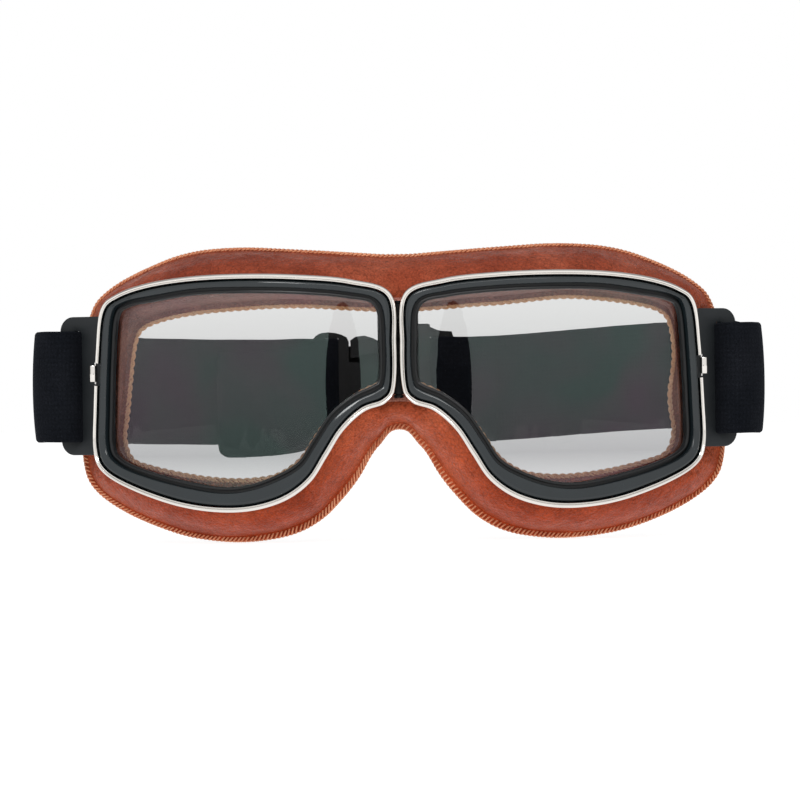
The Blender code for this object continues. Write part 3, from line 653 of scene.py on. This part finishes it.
def rim_bead(_, t):
    """Half-round bead with a thin lip on the inside, slimmer round the temple."""
    slim = 1.0 - 0.22 * math.exp(-(((t % LAST) - 8.6) / 1.5) ** 2)
    points = (
        (0.0, 3.4), (-0.02, 0.7), (0.03, 0.2), (0.13, -0.12), (0.30, -0.34), (0.54, -0.44),
        (0.78, -0.36), (0.92, -0.18), (0.98, 0.02), (1.05, 0.03), (1.14, -0.08), (1.27, 0.0),
        (1.31, 0.25), (1.31, 3.4),
    )
    return [(1.31 - (1.31 - o) * slim, d) for o, d in points]


RIM_START, RIM_STOP = 8.56, LAST + 8.19


def chrome_rim(tag, side):
    stations = even_stations(RIM_STEPS, RIM_START, RIM_STOP)
    return swept("rim_" + tag, stations, rim_bead, False, side)


def lens_panel(tag, side):
    outline = []
    for t in even_stations(LENS_STEPS):
        outer, inward, width = station(t)
        outline.append(tuple(outer + inward * (width - 1.6)))
    return prism("lens_panel_" + tag, outline, 3.1, 5.3, 0.2, bend, np.arange(-13.0, 76.0, 1.5), side)


def closing_block(tag, side):
    """Nut block that closes the rim, and its through screw."""
    ends = []
    for t in (8.51, 8.24):
        ends.append(np.array(bend(wrap_u(84.6), float(station(t)[0][1]), 1.1)))
    low, high = ends
    axis = (high - low) / np.linalg.norm(high - low)
    length = float(np.linalg.norm(high - low))
    rings = [(0.01, 0.0), (0.85, 0.0), (1.06, 0.12), (1.12, 0.32), (1.12, length - 0.32),
             (1.06, length - 0.12), (0.85, length), (0.01, length)]
    barrel = lathe("rim_nut_" + tag, low, axis, rings, side)
    rings = [(0.01, -0.55), (0.30, -0.55), (0.36, -0.45), (0.36, length + 0.35), (0.42, length + 0.45),
             (0.42, length + 0.7), (0.34, length + 0.8), (0.01, length + 0.8)]
    inward = np.array([-0.62, -0.32, 0.0])
    screw = lathe("rim_bolt_" + tag, low + inward, axis, rings, side, 20)
    return barrel, screw


def eye_unit(tag, side):
    body = tag + "_half"
    rings = even_stations(BAND_STEPS)
    pieces = [
        (swept("frame_band_" + tag, rings, frame_profile, True, side), "frame", "eye_frame"),
        (swept("gasket_lip_" + tag, rings, gasket_profile, True, side), "gasket", "lens_gasket"),
        (chrome_rim(tag, side), "chrome", "chrome_rim"),
        (lens_panel(tag, side), "lens", "lens"),
    ]
    barrel, screw = closing_block(tag, side)
    pieces += [(barrel, "chrome", "rim_barrel"), (screw, "steel", "rim_screw")]
    for piece, look, node in pieces:
        paint(piece, look)
        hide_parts(f"{node}_{tag}")
        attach(piece, body)


# ---- strap bracket ----


def bracket_place(a, b, c):
    base = np.array(bend(wrap_u(85.0), 0.0, 5.1))
    first, second = STRAIGHT_U / WRAP_RADIUS, math.radians(28.0)
    share = min(max((a + 0.6) / 1.2, 0.0), 1.0)
    turn = first + (second - first) * share
    reach = np.array([math.cos(first), math.sin(first), 0.0]) * min(a, 0.0)
    reach = reach + np.array([math.cos(second), math.sin(second), 0.0]) * max(a, 0.0)
    back = np.array([-math.sin(turn), math.cos(turn), 0.0])
    return base + reach + back * c + np.array([0.0, 0.0, b])


def bracket(tag, side):
    """Plate with rounded rims round its edge and its slot, bent where it leaves the rim."""
    middle = sum(BRACKET_Z) / 2
    outer = round_corners(-4.4, 13.4, *BRACKET_Z, (1.0, 4.0, 4.0, 1.0), 10)
    slot = round_corners(6.7, 9.2, middle - 15.1, middle + 15.1, (1.0,) * 4, 6)
    bm = bmesh.new()
    loops = []
    for outline, grow in ((outer, -1), (slot, 1)):
        for inset, level in ((0.0, 0.35), (0.0, 1.25), (0.1, 1.48), (0.35, 1.6), (0.35, 0.0), (0.1, 0.12)):
            loops.append([bm.verts.new((*p, level)) for p in inset_outline(outline, inset * grow)])
    for start in (0, 6):
        order = [start + k for k in (4, 5, 0, 1, 2, 3)]
        for here, there in zip(order, order[1:]):
            count = len(loops[here])
            for i in range(count):
                j = (i + 1) % count
                bm.faces.new((loops[here][i], loops[here][j], loops[there][j], loops[there][i]))
    for level in (3, 4):
        edges = []
        for loop in (loops[level], loops[6 + level]):
            edges += [bm.edges.get((here, there)) for here, there in zip(loop, loop[1:] + loop[:1])]
        bmesh.ops.triangle_fill(bm, edges=edges, use_beauty=True)
    plate = bent_into_place("bracket_plate_" + tag, bm, bracket_place, (-0.6, -0.2, 0.2, 0.6), side, 28)
    paint(plate, "bracket")
    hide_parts("strap_bracket_" + tag)
    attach(plate, tag + "_half")
    for word in ("upper", "lower"):
        paint(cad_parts[f"bracket_rivet_{word}_{tag}"], "steel")


def inset_outline(outline, inset):
    """The outline moved sideways by inset: negative inwards on an anticlockwise outline."""
    points = np.array(outline, float)
    way = headings(points, True)
    out = np.stack([way[:, 1], -way[:, 0]], axis=1)
    return points + out * inset


# ---- padding ----


def attach_depth(t):
    """Depth at which the padding meets the frame: further back behind the bracket."""
    return 5.0 + 2.6 * eased(t, 5.9, 6.6) * eased(11.6 - t, 0.0, 0.7)


def side_keys(t):
    """Front and back corners of the padding's section at eye parameter t."""
    outer, inward, width = station(t)
    depth = attach_depth(t)
    ox, oz, ix, iz = curve_point(PAD, t - 1.0, False)
    return [
        bend(*(outer + inward * 1.5), depth),
        bend(*(outer + inward * (width - 2.7)), depth),
        (ox, face_y(ox), oz),
        (ix, face_y(ix), iz),
    ]


def ring_keys():
    """Section corners all the way round: right side, nose arch, left side, brow."""
    right = [side_keys(t) for t in np.arange(1.25, 20.3, 0.5)]
    nose = [
        [(5.4, 8.6, 36.5), (7.2, 9.6, 38.6), (5.3, FACE_DEPTH, 26.3), (9.0, FACE_DEPTH, 41.6)],
        [(2.6, 9.8, 36.9), (3.6, 10.6, 39.0), (2.7, FACE_DEPTH, 29.6), (4.4, FACE_DEPTH, 43.4)],
        [(0.0, 10.2, 37.0), (0.0, 10.9, 39.1), (0.0, FACE_DEPTH, 30.4), (0.0, FACE_DEPTH, 44.0)],
    ]
    brow = [
        [(9.0, 6.5, 69.0), (9.0, 6.5, 66.6), (8.4, face_y(9), 78.7), (8.0, face_y(9), 63.2)],
        [(4.5, 6.8, 67.6), (4.5, 6.8, 65.6), (4.2, face_y(4), 78.4), (4.0, face_y(4), 63.0)],
        [(0.0, 7.0, 67.0), (0.0, 7.0, 65.4), (0.0, FACE_DEPTH, 78.35), (0.0, FACE_DEPTH, 63.0)],
    ]
    half = [brow[2], brow[1], brow[0]] + right + nose
    half = np.array(half, float)
    left = half[1:-1][::-1] * np.array([-1.0, 1.0, 1.0])
    return np.concatenate([half, left])


def resample(keys, count):
    """The closed run of section corners at even spacing along the outer seam."""
    fine = [curve_point(keys, t, True) for t in np.linspace(0, len(keys), len(keys) * 10, endpoint=False)]
    fine = np.array(fine)
    for _ in range(6):
        fine = (np.roll(fine, 1, axis=0) + 2 * fine + np.roll(fine, -1, axis=0)) / 4
    closed = np.concatenate([fine, fine[:1]])
    middle = (closed[:, 2] + closed[:, 0]) / 2
    run = run_along(middle)
    wanted = np.linspace(0, run[-1], count, endpoint=False)
    return at_places(wanted, run, closed.reshape(len(closed), -1)).reshape(count, 4, 3)


def outward_of(keys):
    """Unit outward direction of each section, in the plane of the face."""
    away = keys[:, 2] - keys[:, 3]
    away[:, 1] = 0.0
    away /= np.linalg.norm(away, axis=1)[:, None]
    return away


def temple_share(keys):
    """1 where the bracket presses on the leather, 0 elsewhere."""
    x, z = np.abs(keys[:, 2, 0]), keys[:, 2, 2]
    side = np.clip((x - 84.0) / 4.0, 0, 1)
    tall = np.clip((66.0 - z) / 5.0, 0, 1) * np.clip((z - 18.0) / 6.0, 0, 1)
    return side * tall


def crumple(point, scale, seed):
    return noise.noise(Vector(point) * scale + Vector((seed, seed * 0.7, seed * 1.3)))


def leather_section(corners, away, pressed):
    """One section: puffed outer panel, a flat lip at each seam, inner wall back to the frame."""
    front_out, front_in, out, inn = corners
    reach = float(np.dot(out - front_out, away))
    puff = min(2.2, 0.19 * max(reach, 2.0)) * (1 - pressed)
    crease = out - BACK * 2.9 - away * (0.5 + 1.9 * seam_showing(out))
    row = [front_out + (front_in - front_out) * 0.5 + BACK * 0.35, front_out + BACK * 0.1]
    for a in np.linspace(0.06, 0.95, PANEL_STEPS):
        swell = math.sin(math.pi * a**0.75) ** 0.8
        point = front_out + (crease - front_out) * a + away * puff * swell
        row.append(point + BACK * (-0.45 * puff) * math.sin(math.pi * a))
    row.append(crease)
    row.append(out - BACK * 2.4 - away * (0.4 + 1.2 * seam_showing(out)))
    for forward, tucked in ((2.3, 0.35), (1.9, 0.15), (1.2, 0.3), (1.0, 1.6)):
        row.append(out - BACK * forward - away * tucked)
    row += [out + (inn - out) * a - BACK * 1.2 for a in (0.3, 0.5, 0.7)]
    wall_from = len(row)
    for forward, tucked in ((1.0, 1.5), (1.2, 0.3), (1.9, 0.15), (2.3, 0.35), (2.5, 1.3), (2.9, 2.0)):
        row.append(inn - BACK * forward + away * tucked)
    inner_crease = row[-1]
    for a in (0.15, 0.32, 0.5, 0.68, 0.85):
        bulge = math.sin(math.pi * a) * 0.9
        row.append(inner_crease + (front_in - inner_crease) * a - away * bulge * (1 - pressed))
    row.append(front_in + BACK * 0.1)
    return row, wall_from


def folded(point, i, j):
    """Height of the soft folds at a point of the outer panel: closer together beside the nose."""
    folds = crumple((point[0] * 0.5, point[1] * 0.35, point[2] * 0.5), 0.22, 3.1) * 0.5
    folds += crumple(point, 0.5, 9.7) * 0.2
    near_nose = math.exp(-((abs(point[0]) - 12.0) / 13.0) ** 2) * (1.0 if point[2] < 45 else 0.55)
    return folds + near_nose * 0.26 * crumple((i * 0.55, j * 0.30, 0.0), 1.0, 5.0)


def leather_ring(keys):
    """The leather all the way round, and 1 for each face of its inner wall."""
    away = outward_of(keys)
    pressed = temple_share(keys)
    rows = []
    for corners, out, share in zip(keys, away, pressed):
        row, wall_from = leather_section(corners, out, share)
        rows.append(row)
    rows = np.array(rows)
    for i in range(len(rows)):
        for j in range(2, PANEL_STEPS + 3):
            depth = math.sin(math.pi * (j - 1) / (PANEL_STEPS + 2))
            rows[i, j] += away[i] * folded(rows[i, j], i, j) * depth * (1 - 0.6 * pressed[i])
    ring = rows_to_object("leather_surround", rows, True, True, smooth=60)
    inner = np.zeros(rows.shape[:2], np.int32)
    inner[:, wall_from:] = 1
    return ring, inner.ravel()


def face_lining(keys):
    """Soft pad that lies on the face, between the outer and inner seams."""
    away = outward_of(keys)
    rows = []
    for k, (_, _, out, inn) in enumerate(keys):
        edge_out = out - BACK * 1.0 - away[k] * 0.9
        edge_in = inn - BACK * 1.0 + away[k] * 0.8
        row = [edge_out - BACK * 0.1]
        for a in np.linspace(0.04, 0.96, 15):
            crown = (math.sin(math.pi * a) ** 0.55) * 2.0
            wander = crumple((k * 0.12, a * 3.0, 1.0), 1.0, 2.0) * 0.25
            row.append(edge_out + (edge_in - edge_out) * a + BACK * (crown + wander))
        row.append(edge_in - BACK * 0.1)
        row.append((edge_out + edge_in) / 2 - BACK * 0.25)
        rows.append(row)
    return rows_to_object("face_lining", rows, True, True, smooth=60)


def along_seam(seam, away, pitch):
    """The closed seam with its outward directions, its run, and how many stitches fit round it."""
    both = np.concatenate([seam, away], axis=1)
    both = np.concatenate([both, both[:1]])
    run = run_along(both[:, :3])
    return both, run, int(round(run[-1] / pitch))


def seam_showing(point):
    """How far the lip turns to the front: little at the brow, most beside the nose."""
    low = min(max((52.0 - point[2]) / 30.0, 0.0), 1.0)
    near = math.exp(-(point[0] / 38.0) ** 4)
    return 0.24 + 0.76 * low * (0.45 + 0.55 * near)


def overlock(name, seam, away, pitch, reach, lift, radius):
    """Thread that wraps a lip's edge once per stitch, slanting across its front face."""
    both, run, count = along_seam(seam, away, pitch)
    steps = ((0.0, -reach, -lift), (0.34, -reach * 0.66, -lift * 1.15), (0.70, -reach * 0.26, -lift * 1.1),
             (0.94, 0.10, -lift * 0.6), (1.02, 0.16, lift * 0.1), (1.06, 0.0, lift * 0.8),
             (1.05, -reach * 0.5, lift * 1.1), (1.01, -reach * 0.95, lift * 0.5))
    places, offsets = [], []
    for k in range(count):
        for share, out, deep in steps:
            slip = 0.16 * crumple((k * 0.9, 0.0, 0.7), 1.0, 2.0)
            places.append((k + share + slip) / count * run[-1])
            offsets.append((out * (1.0 + 0.3 * crumple((k * 1.7, 0.0, 0.3), 1.0, 4.0)), deep))
    base, out = np.hsplit(at_places(places, run, both), 2)
    offsets = np.array(offsets)
    offsets[:, 0] *= [seam_showing(p) if o < 0 else 1.0 for p, o in zip(base, offsets[:, 0])]
    path = base + out * offsets[:, :1] + BACK * offsets[:, 1:]
    return tube(name, path, radius, 6, True)


def seam_cord(name, seam, away, pitch, out, radius, wave, turned=0.0):
    """The edge chain of an overlock: a cord that ripples once per stitch."""
    both, run, count = along_seam(seam, away, pitch)
    places = np.linspace(0, run[-1], count * 8, endpoint=False)
    base, turn = np.hsplit(at_places(places, run, both), 2)
    phase = np.arange(len(places)) * math.pi / 4 + turned
    path = base + turn * (out + wave * np.cos(phase))[:, None]
    path[:, 1] += max(wave, 0.3) * np.sin(phase)
    return tube(name, path, radius, 6, True)


def settle(keys):
    """The padding sits unevenly: drawn in round the left temple, and its opening wider at the right one."""
    for _, _, out, inn in keys:
        if out[0] < 0:
            out[0] += 2.4 * eased(-out[0], 38.0, 74.0)
        if inn[0] > 0:
            wider = 2.8 * eased(inn[0], 50.0, 70.0) * eased(inn[2], 36.0, 52.0)
            inn[2] += 2.4 * eased(inn[0], 25.0, 50.0) * eased(inn[2], 45.0, 57.0)
            inn[0] += wider
    return keys


def padding():
    keys = settle(resample(ring_keys(), SEAM_STEPS))
    away = outward_of(keys)
    leather, inner_wall = leather_ring(keys)
    paint(leather, "leather")
    # The inner wall gets the lighter leather copy: painted light for a wall in shade.
    leather.data.materials.append(LOOKS["leather_inner"])
    leather.data.polygons.foreach_set("material_index", inner_wall)
    lining = paint(face_lining(keys), "lining")
    outer = keys[:, 2] - BACK * 1.75 - away * 0.3
    inner = keys[:, 3] - BACK * 1.75 + away * 0.3
    stitches = [
        overlock("overlock_outer", outer, away, 1.2, 1.9, 0.68, 0.25),
        overlock("overlock_inner", inner, -away, 1.4, 0.8, 0.62, 0.24),
        seam_cord("edge_chain_outer", outer, away, 1.25, 0.0, 0.30, 0.08),
        join("edge_chain_inner", [
            seam_cord(f"inner_strand_{k}", inner, -away, 4.4, 0.1, 0.34, 0.42, math.pi * k) for k in (0, 1)
        ]),
    ]
    for piece in stitches:
        paint(piece, "thread_inner" if "inner" in piece.name else "thread")
    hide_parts("cushion_left", "cushion_right", "cushion_brow", "cushion_nose")
    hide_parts("face_pad_left", "face_pad_right", "face_pad_brow", "face_pad_nose")
    for piece in [leather, lining] + stitches:
        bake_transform(piece)


# ---- strap ----


def strap_line(path, first, last, free_end):
    """Centres and headings along a span of a strap's path, and the length left beyond each."""
    steps = (last - first) * 9 + 1
    centres = np.array([curve_point(path, t, False) for t in np.linspace(first, last, steps)])
    way = headings(centres[:, :2], False)
    run = run_along(centres)
    left_over = run[-1] - run
    for extra in (3.0, 2.0, 1.2, 0.6, 0.25) if free_end else ():
        at = int(np.argmin(np.abs(left_over - extra)))
        if abs(left_over[at] - extra) > 0.2:
            at = int(np.searchsorted(-left_over, -extra))
            share = (left_over[at - 1] - extra) / max(left_over[at - 1] - left_over[at], 1e-6)
            added = centres[at - 1] + (centres[at] - centres[at - 1]) * share
            centres = np.insert(centres, at, added, axis=0)
            way = np.insert(way, at, way[at], axis=0)
            left_over = np.insert(left_over, at, extra)
    return centres, way, left_over


def strap_section(half):
    """(height, side) round the webbing: side is 1 on the outer face, -1 on the inner one."""
    selvedge = ((half - 0.35, 0.8), (half, 0.3), (half, -0.3), (half - 0.35, -0.8))
    tall = np.linspace(-half + 0.9, half - 0.9, 15)
    up = [(z, 1.0) for z in tall] + list(selvedge)
    return up + [(-z, -face) for z, face in up]


def ribbon(name, path, side, first, last, free_end):
    """Elastic webbing on edge along a plan path, from point first to point last, with rounded selvedges."""
    half = STRAP_HALF
    centres, way, left_over = strap_line(path, first, last, free_end)
    section = strap_section(half)
    rows = []
    for centre, heading, left, run in zip(centres, way, left_over, run_along(centres)):
        across = np.array([-heading[1], heading[0], 0.0])
        low, high, slim = -half, half, 1.0
        if free_end:
            low += corner_drop(3.6, left)
            high -= corner_drop(1.6, left)
            slim = 0.45 + 0.55 * min(left / 0.8, 1.0)
        row = []
        for z, face in section:
            bow = 0.9 * (1 - (z / half) ** 2) * bow_share(centre)
            ripple = 0.12 * crumple((run * 0.05, z * 0.06, 0.0), 1.0, 6.0)
            height = low + (z + half) / (2 * half) * (high - low)
            height += 0.14 * crumple((run * 0.15, 0.0, 0.0), 1.0, 8.0)
            level = face * slim * STRAP_THICK / 2 + ripple
            row.append(centre + across * level + np.array([bow, 0.0, height]))
        rows.append(row)
    return rows_to_object(name, rows, False, True, side, caps=True, smooth=50)


def corner_drop(radius, left):
    """How far a rounded corner has drawn the edge in, at a distance from the strap's end."""
    rest = max(radius - left, 0.0)
    return radius - math.sqrt(max(radius**2 - rest**2, 0.0))


def bow_share(centre):
    """How much the strap bows out at mid-height: only where it rolls over the bracket's bar."""
    return math.exp(-((centre[1] - 38.0) / 9.0) ** 2) if centre[0] > 93.0 else 0.0


TEMPLE_LOOP = [
    (95.0, 58.5, STRAP_Z), (96.3, 52.0, STRAP_Z), (95.4, 46.0, STRAP_Z), (93.3, 42.8, STRAP_Z),
    (90.8, 40.3, STRAP_Z), (88.6, 38.4, STRAP_Z), (87.8, 36.4, STRAP_Z), (88.3, 34.3, STRAP_Z),
    (89.6, 32.1, STRAP_Z), (92.2, 31.0, STRAP_Z), (95.9, 32.4, STRAP_Z), (98.9, 36.2, STRAP_Z),
    (99.8, 41.5, STRAP_Z), (99.4, 48.0, STRAP_Z), (98.6, 54.0, STRAP_Z), (97.4, 60.0, STRAP_Z),
]
RIGHT_RUN = [
    (93.6, 74.0, 44.6), (86.0, 91.0, 44.8), (73.0, 105.0, 44.3), (55.0, 115.0, 43.2),
    (36.0, 120.2, 41.9), (21.0, 121.2, BUCKLE_Z), (15.5, 121.3, BUCKLE_Z), (11.7, 120.6, BUCKLE_Z),
    (10.0, 118.0, BUCKLE_Z), (11.7, 115.4, BUCKLE_Z), (16.0, 114.6, BUCKLE_Z), (22.0, 115.3, BUCKLE_Z),
    (28.0, 117.0, BUCKLE_Z),
]
LEFT_RUN = [
    (93.6, 74.0, 43.2), (86.0, 91.0, 42.8), (73.0, 105.0, 42.0), (55.0, 115.4, 41.5),
    (38.0, 120.4, BUCKLE_Z), (28.5, 121.2, BUCKLE_Z), (23.5, 121.3, BUCKLE_Z), (19.6, 120.6, BUCKLE_Z),
    (17.95, 118.0, BUCKLE_Z), (19.6, 115.4, BUCKLE_Z), (24.0, 114.4, BUCKLE_Z - 0.6),
    (30.0, 114.0, BUCKLE_Z - 2.4), (40.0, 112.8, BUCKLE_Z - 3.4), (52.6, 109.8, BUCKLE_Z - 3.7),
]


def straps():
    """The left strap is whole. The right one is two lengths that meet midway, since it crosses two joints."""
    middle = len(TEMPLE_LOOP) + 3
    paths = {"right": TEMPLE_LOOP + RIGHT_RUN, "left": TEMPLE_LOOP + LEFT_RUN}
    for name, tag, side, first, last, rests in (
        ("webbing_left", "left", -1, 0, len(paths["left"]) - 1, ["bracket_plate_left", "buckle_male"]),
        ("webbing_right", "right", 1, 0, middle, ["bracket_plate_right"]),
        ("webbing_right_end", "right", 1, middle, len(paths["right"]) - 1, ["buckle_female"]),
    ):
        piece = ribbon(name, paths[tag], side, first, last, tag == "left")
        paint(piece, "webbing")
        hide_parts("strap_" + tag)
        if name == "webbing_left":
            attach(piece, "left_half")
        elif name == "webbing_right":
            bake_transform(piece)
        else:
            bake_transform(piece)
    for label, height, start, stop in (
        ("upper", 11.6, 9.4, 12.9), ("upper_hem", 10.4, 9.4, 12.9), ("lower", -12.2, 9.6, 12.6),
    ):
        seam_line("tail_stitch_" + label, LEFT_RUN, height, start, stop, -1, "left_half")


def seam_line(name, path, height, start, stop, side, body):
    """A row of lockstitches on the face of the webbing: short raised dashes."""
    points = []
    for t in np.linspace(start, stop, 160):
        here, near = curve_point(path, t, False), curve_point(path, t + 0.02, False)
        way = (near - here)[:2]
        way /= np.linalg.norm(way)
        out = np.array([-way[1], way[0], 0.0]) * STRAP_THICK / 2
        points.append(here + out + np.array([0.0, 0.0, height]))
    points = np.array(points)
    run = run_along(points)
    dashes = []
    for k in range(int(run[-1] / 2.2)):
        places = np.array([0.0, 0.5, 1.1, 1.6]) + k * 2.2
        dashes.append(tube(f"{name}_{k}", at_places(places, run, points), 0.17, 5, False, side))
    line = paint(join(name, dashes), "strap_thread")
    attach(line, body)


# ---- stage ----


def stage():
    floor = bpy.data.meshes.new("floor")
    corners = [(-FLOOR_REACH, -FLOOR_REACH, 0), (FLOOR_REACH, -FLOOR_REACH, 0),
               (FLOOR_REACH, FLOOR_REACH, 0), (-FLOOR_REACH, FLOOR_REACH, 0)]
    floor.from_pydata(corners, [], [(0, 1, 2, 3)])
    ground = add_object("floor", floor)
    look = Look("floor_paper")
    grain = look.noise(look.coords(), 40.0, 3.0)
    look.colour(look.ramp(grain, (0.3, (0.28, 0.28, 0.28)), (0.7, (0.30, 0.30, 0.30))))
    look.set(Roughness=0.95, Specular_IOR_Level=0.05, Emission_Strength=0.88)
    look.shader.inputs["Emission Color"].default_value = (1.0, 1.0, 1.0, 1.0)
    floor.materials.append(look.material)
    angles = np.linspace(0, 2 * math.pi, 64, endpoint=False)
    outline = [(0.163 * math.cos(a), -1.6, 0.0466 + 0.046 * math.sin(a)) for a in angles]
    card = bpy.data.meshes.new("camera_body")
    card.from_pydata(outline, [], [tuple(range(len(outline)))])
    body = add_object("camera_body", card)
    card.materials.append(plastic_look("camera_black", (0.004, 0.004, 0.004), 0.9, 0.2, 0.05))


def lights():
    world = bpy.data.worlds.new("studio")
    bpy.context.scene.world = world
    world.use_nodes = True
    tree = world.node_tree
    coords = tree.nodes.new("ShaderNodeTexCoord")
    split = tree.nodes.new("ShaderNodeSeparateXYZ")
    spread = tree.nodes.new("ShaderNodeMapRange")
    spread.inputs["From Min"].default_value = -1.0
    spread.inputs["From Max"].default_value = 1.0
    ramp = tree.nodes.new("ShaderNodeValToRGB")
    stops = ((0.0, 1.0), (0.3, 0.97), (0.46, 0.75), (0.58, 0.34), (0.9, 0.25), (0.985, 1.0))
    set_stops(ramp.color_ramp, stops)
    tree.links.new(coords.outputs["Generated"], split.inputs[0])
    tree.links.new(split.outputs["Y"], spread.inputs["Value"])
    tree.links.new(spread.outputs["Result"], ramp.inputs["Fac"])
    tree.links.new(ramp.outputs["Color"], tree.nodes["Background"].inputs["Color"])
    tree.nodes["Background"].inputs["Strength"].default_value = 1.0
    for name, where, size, power in (
        ("key", (-0.40, -1.15, 0.62), (0.3, 0.3), 2.6),
        ("strip", (0.05, -0.95, 0.60), (1.1, 0.14), 2.4),
    ):
        data = bpy.data.lights.new(name, "AREA")
        data.shape = "RECTANGLE"
        data.size, data.size_y = size
        data.energy = power
        lamp = add_object(name, data)
        lamp.location = where
        aim = Vector((0.0, -0.03, 0.04)) - Vector(where)
        lamp.rotation_euler = aim.to_track_quat("-Z", "Y").to_euler()


def camera():
    data = bpy.data.cameras.new("camera")
    data.angle = 2 * math.atan(HALF_VIEW / CAMERA_AWAY)
    data.clip_start = 0.05
    eye = add_object("camera", data)
    eye.location = (0.0003, FRONT_Y - CAMERA_AWAY, 0.0386)
    eye.rotation_euler = (Matrix.Rotation(math.radians(90), 3, "X")
                          @ Matrix.Rotation(math.radians(-0.8), 3, "Z")).to_euler()
    bpy.context.scene.camera = eye


def main():
    bpy.context.scene.view_settings.view_transform = "Standard"
    make_looks()
    for tag, side in (("left", -1), ("right", 1)):
        eye_unit(tag, side)
        bracket(tag, side)
    padding()
    straps()
    for node, look in (
        ("hinge_leaf_left", "hinge"), ("hinge_leaf_right", "hinge"), ("hinge_pin", "hinge"),
        ("buckle_female", "buckle"), ("buckle_male", "buckle"),
        ("latch_arm_upper", "buckle"), ("latch_arm_lower", "buckle"),
    ):
        paint(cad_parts[node], look)
    stage()
    lights()
    camera()


main()
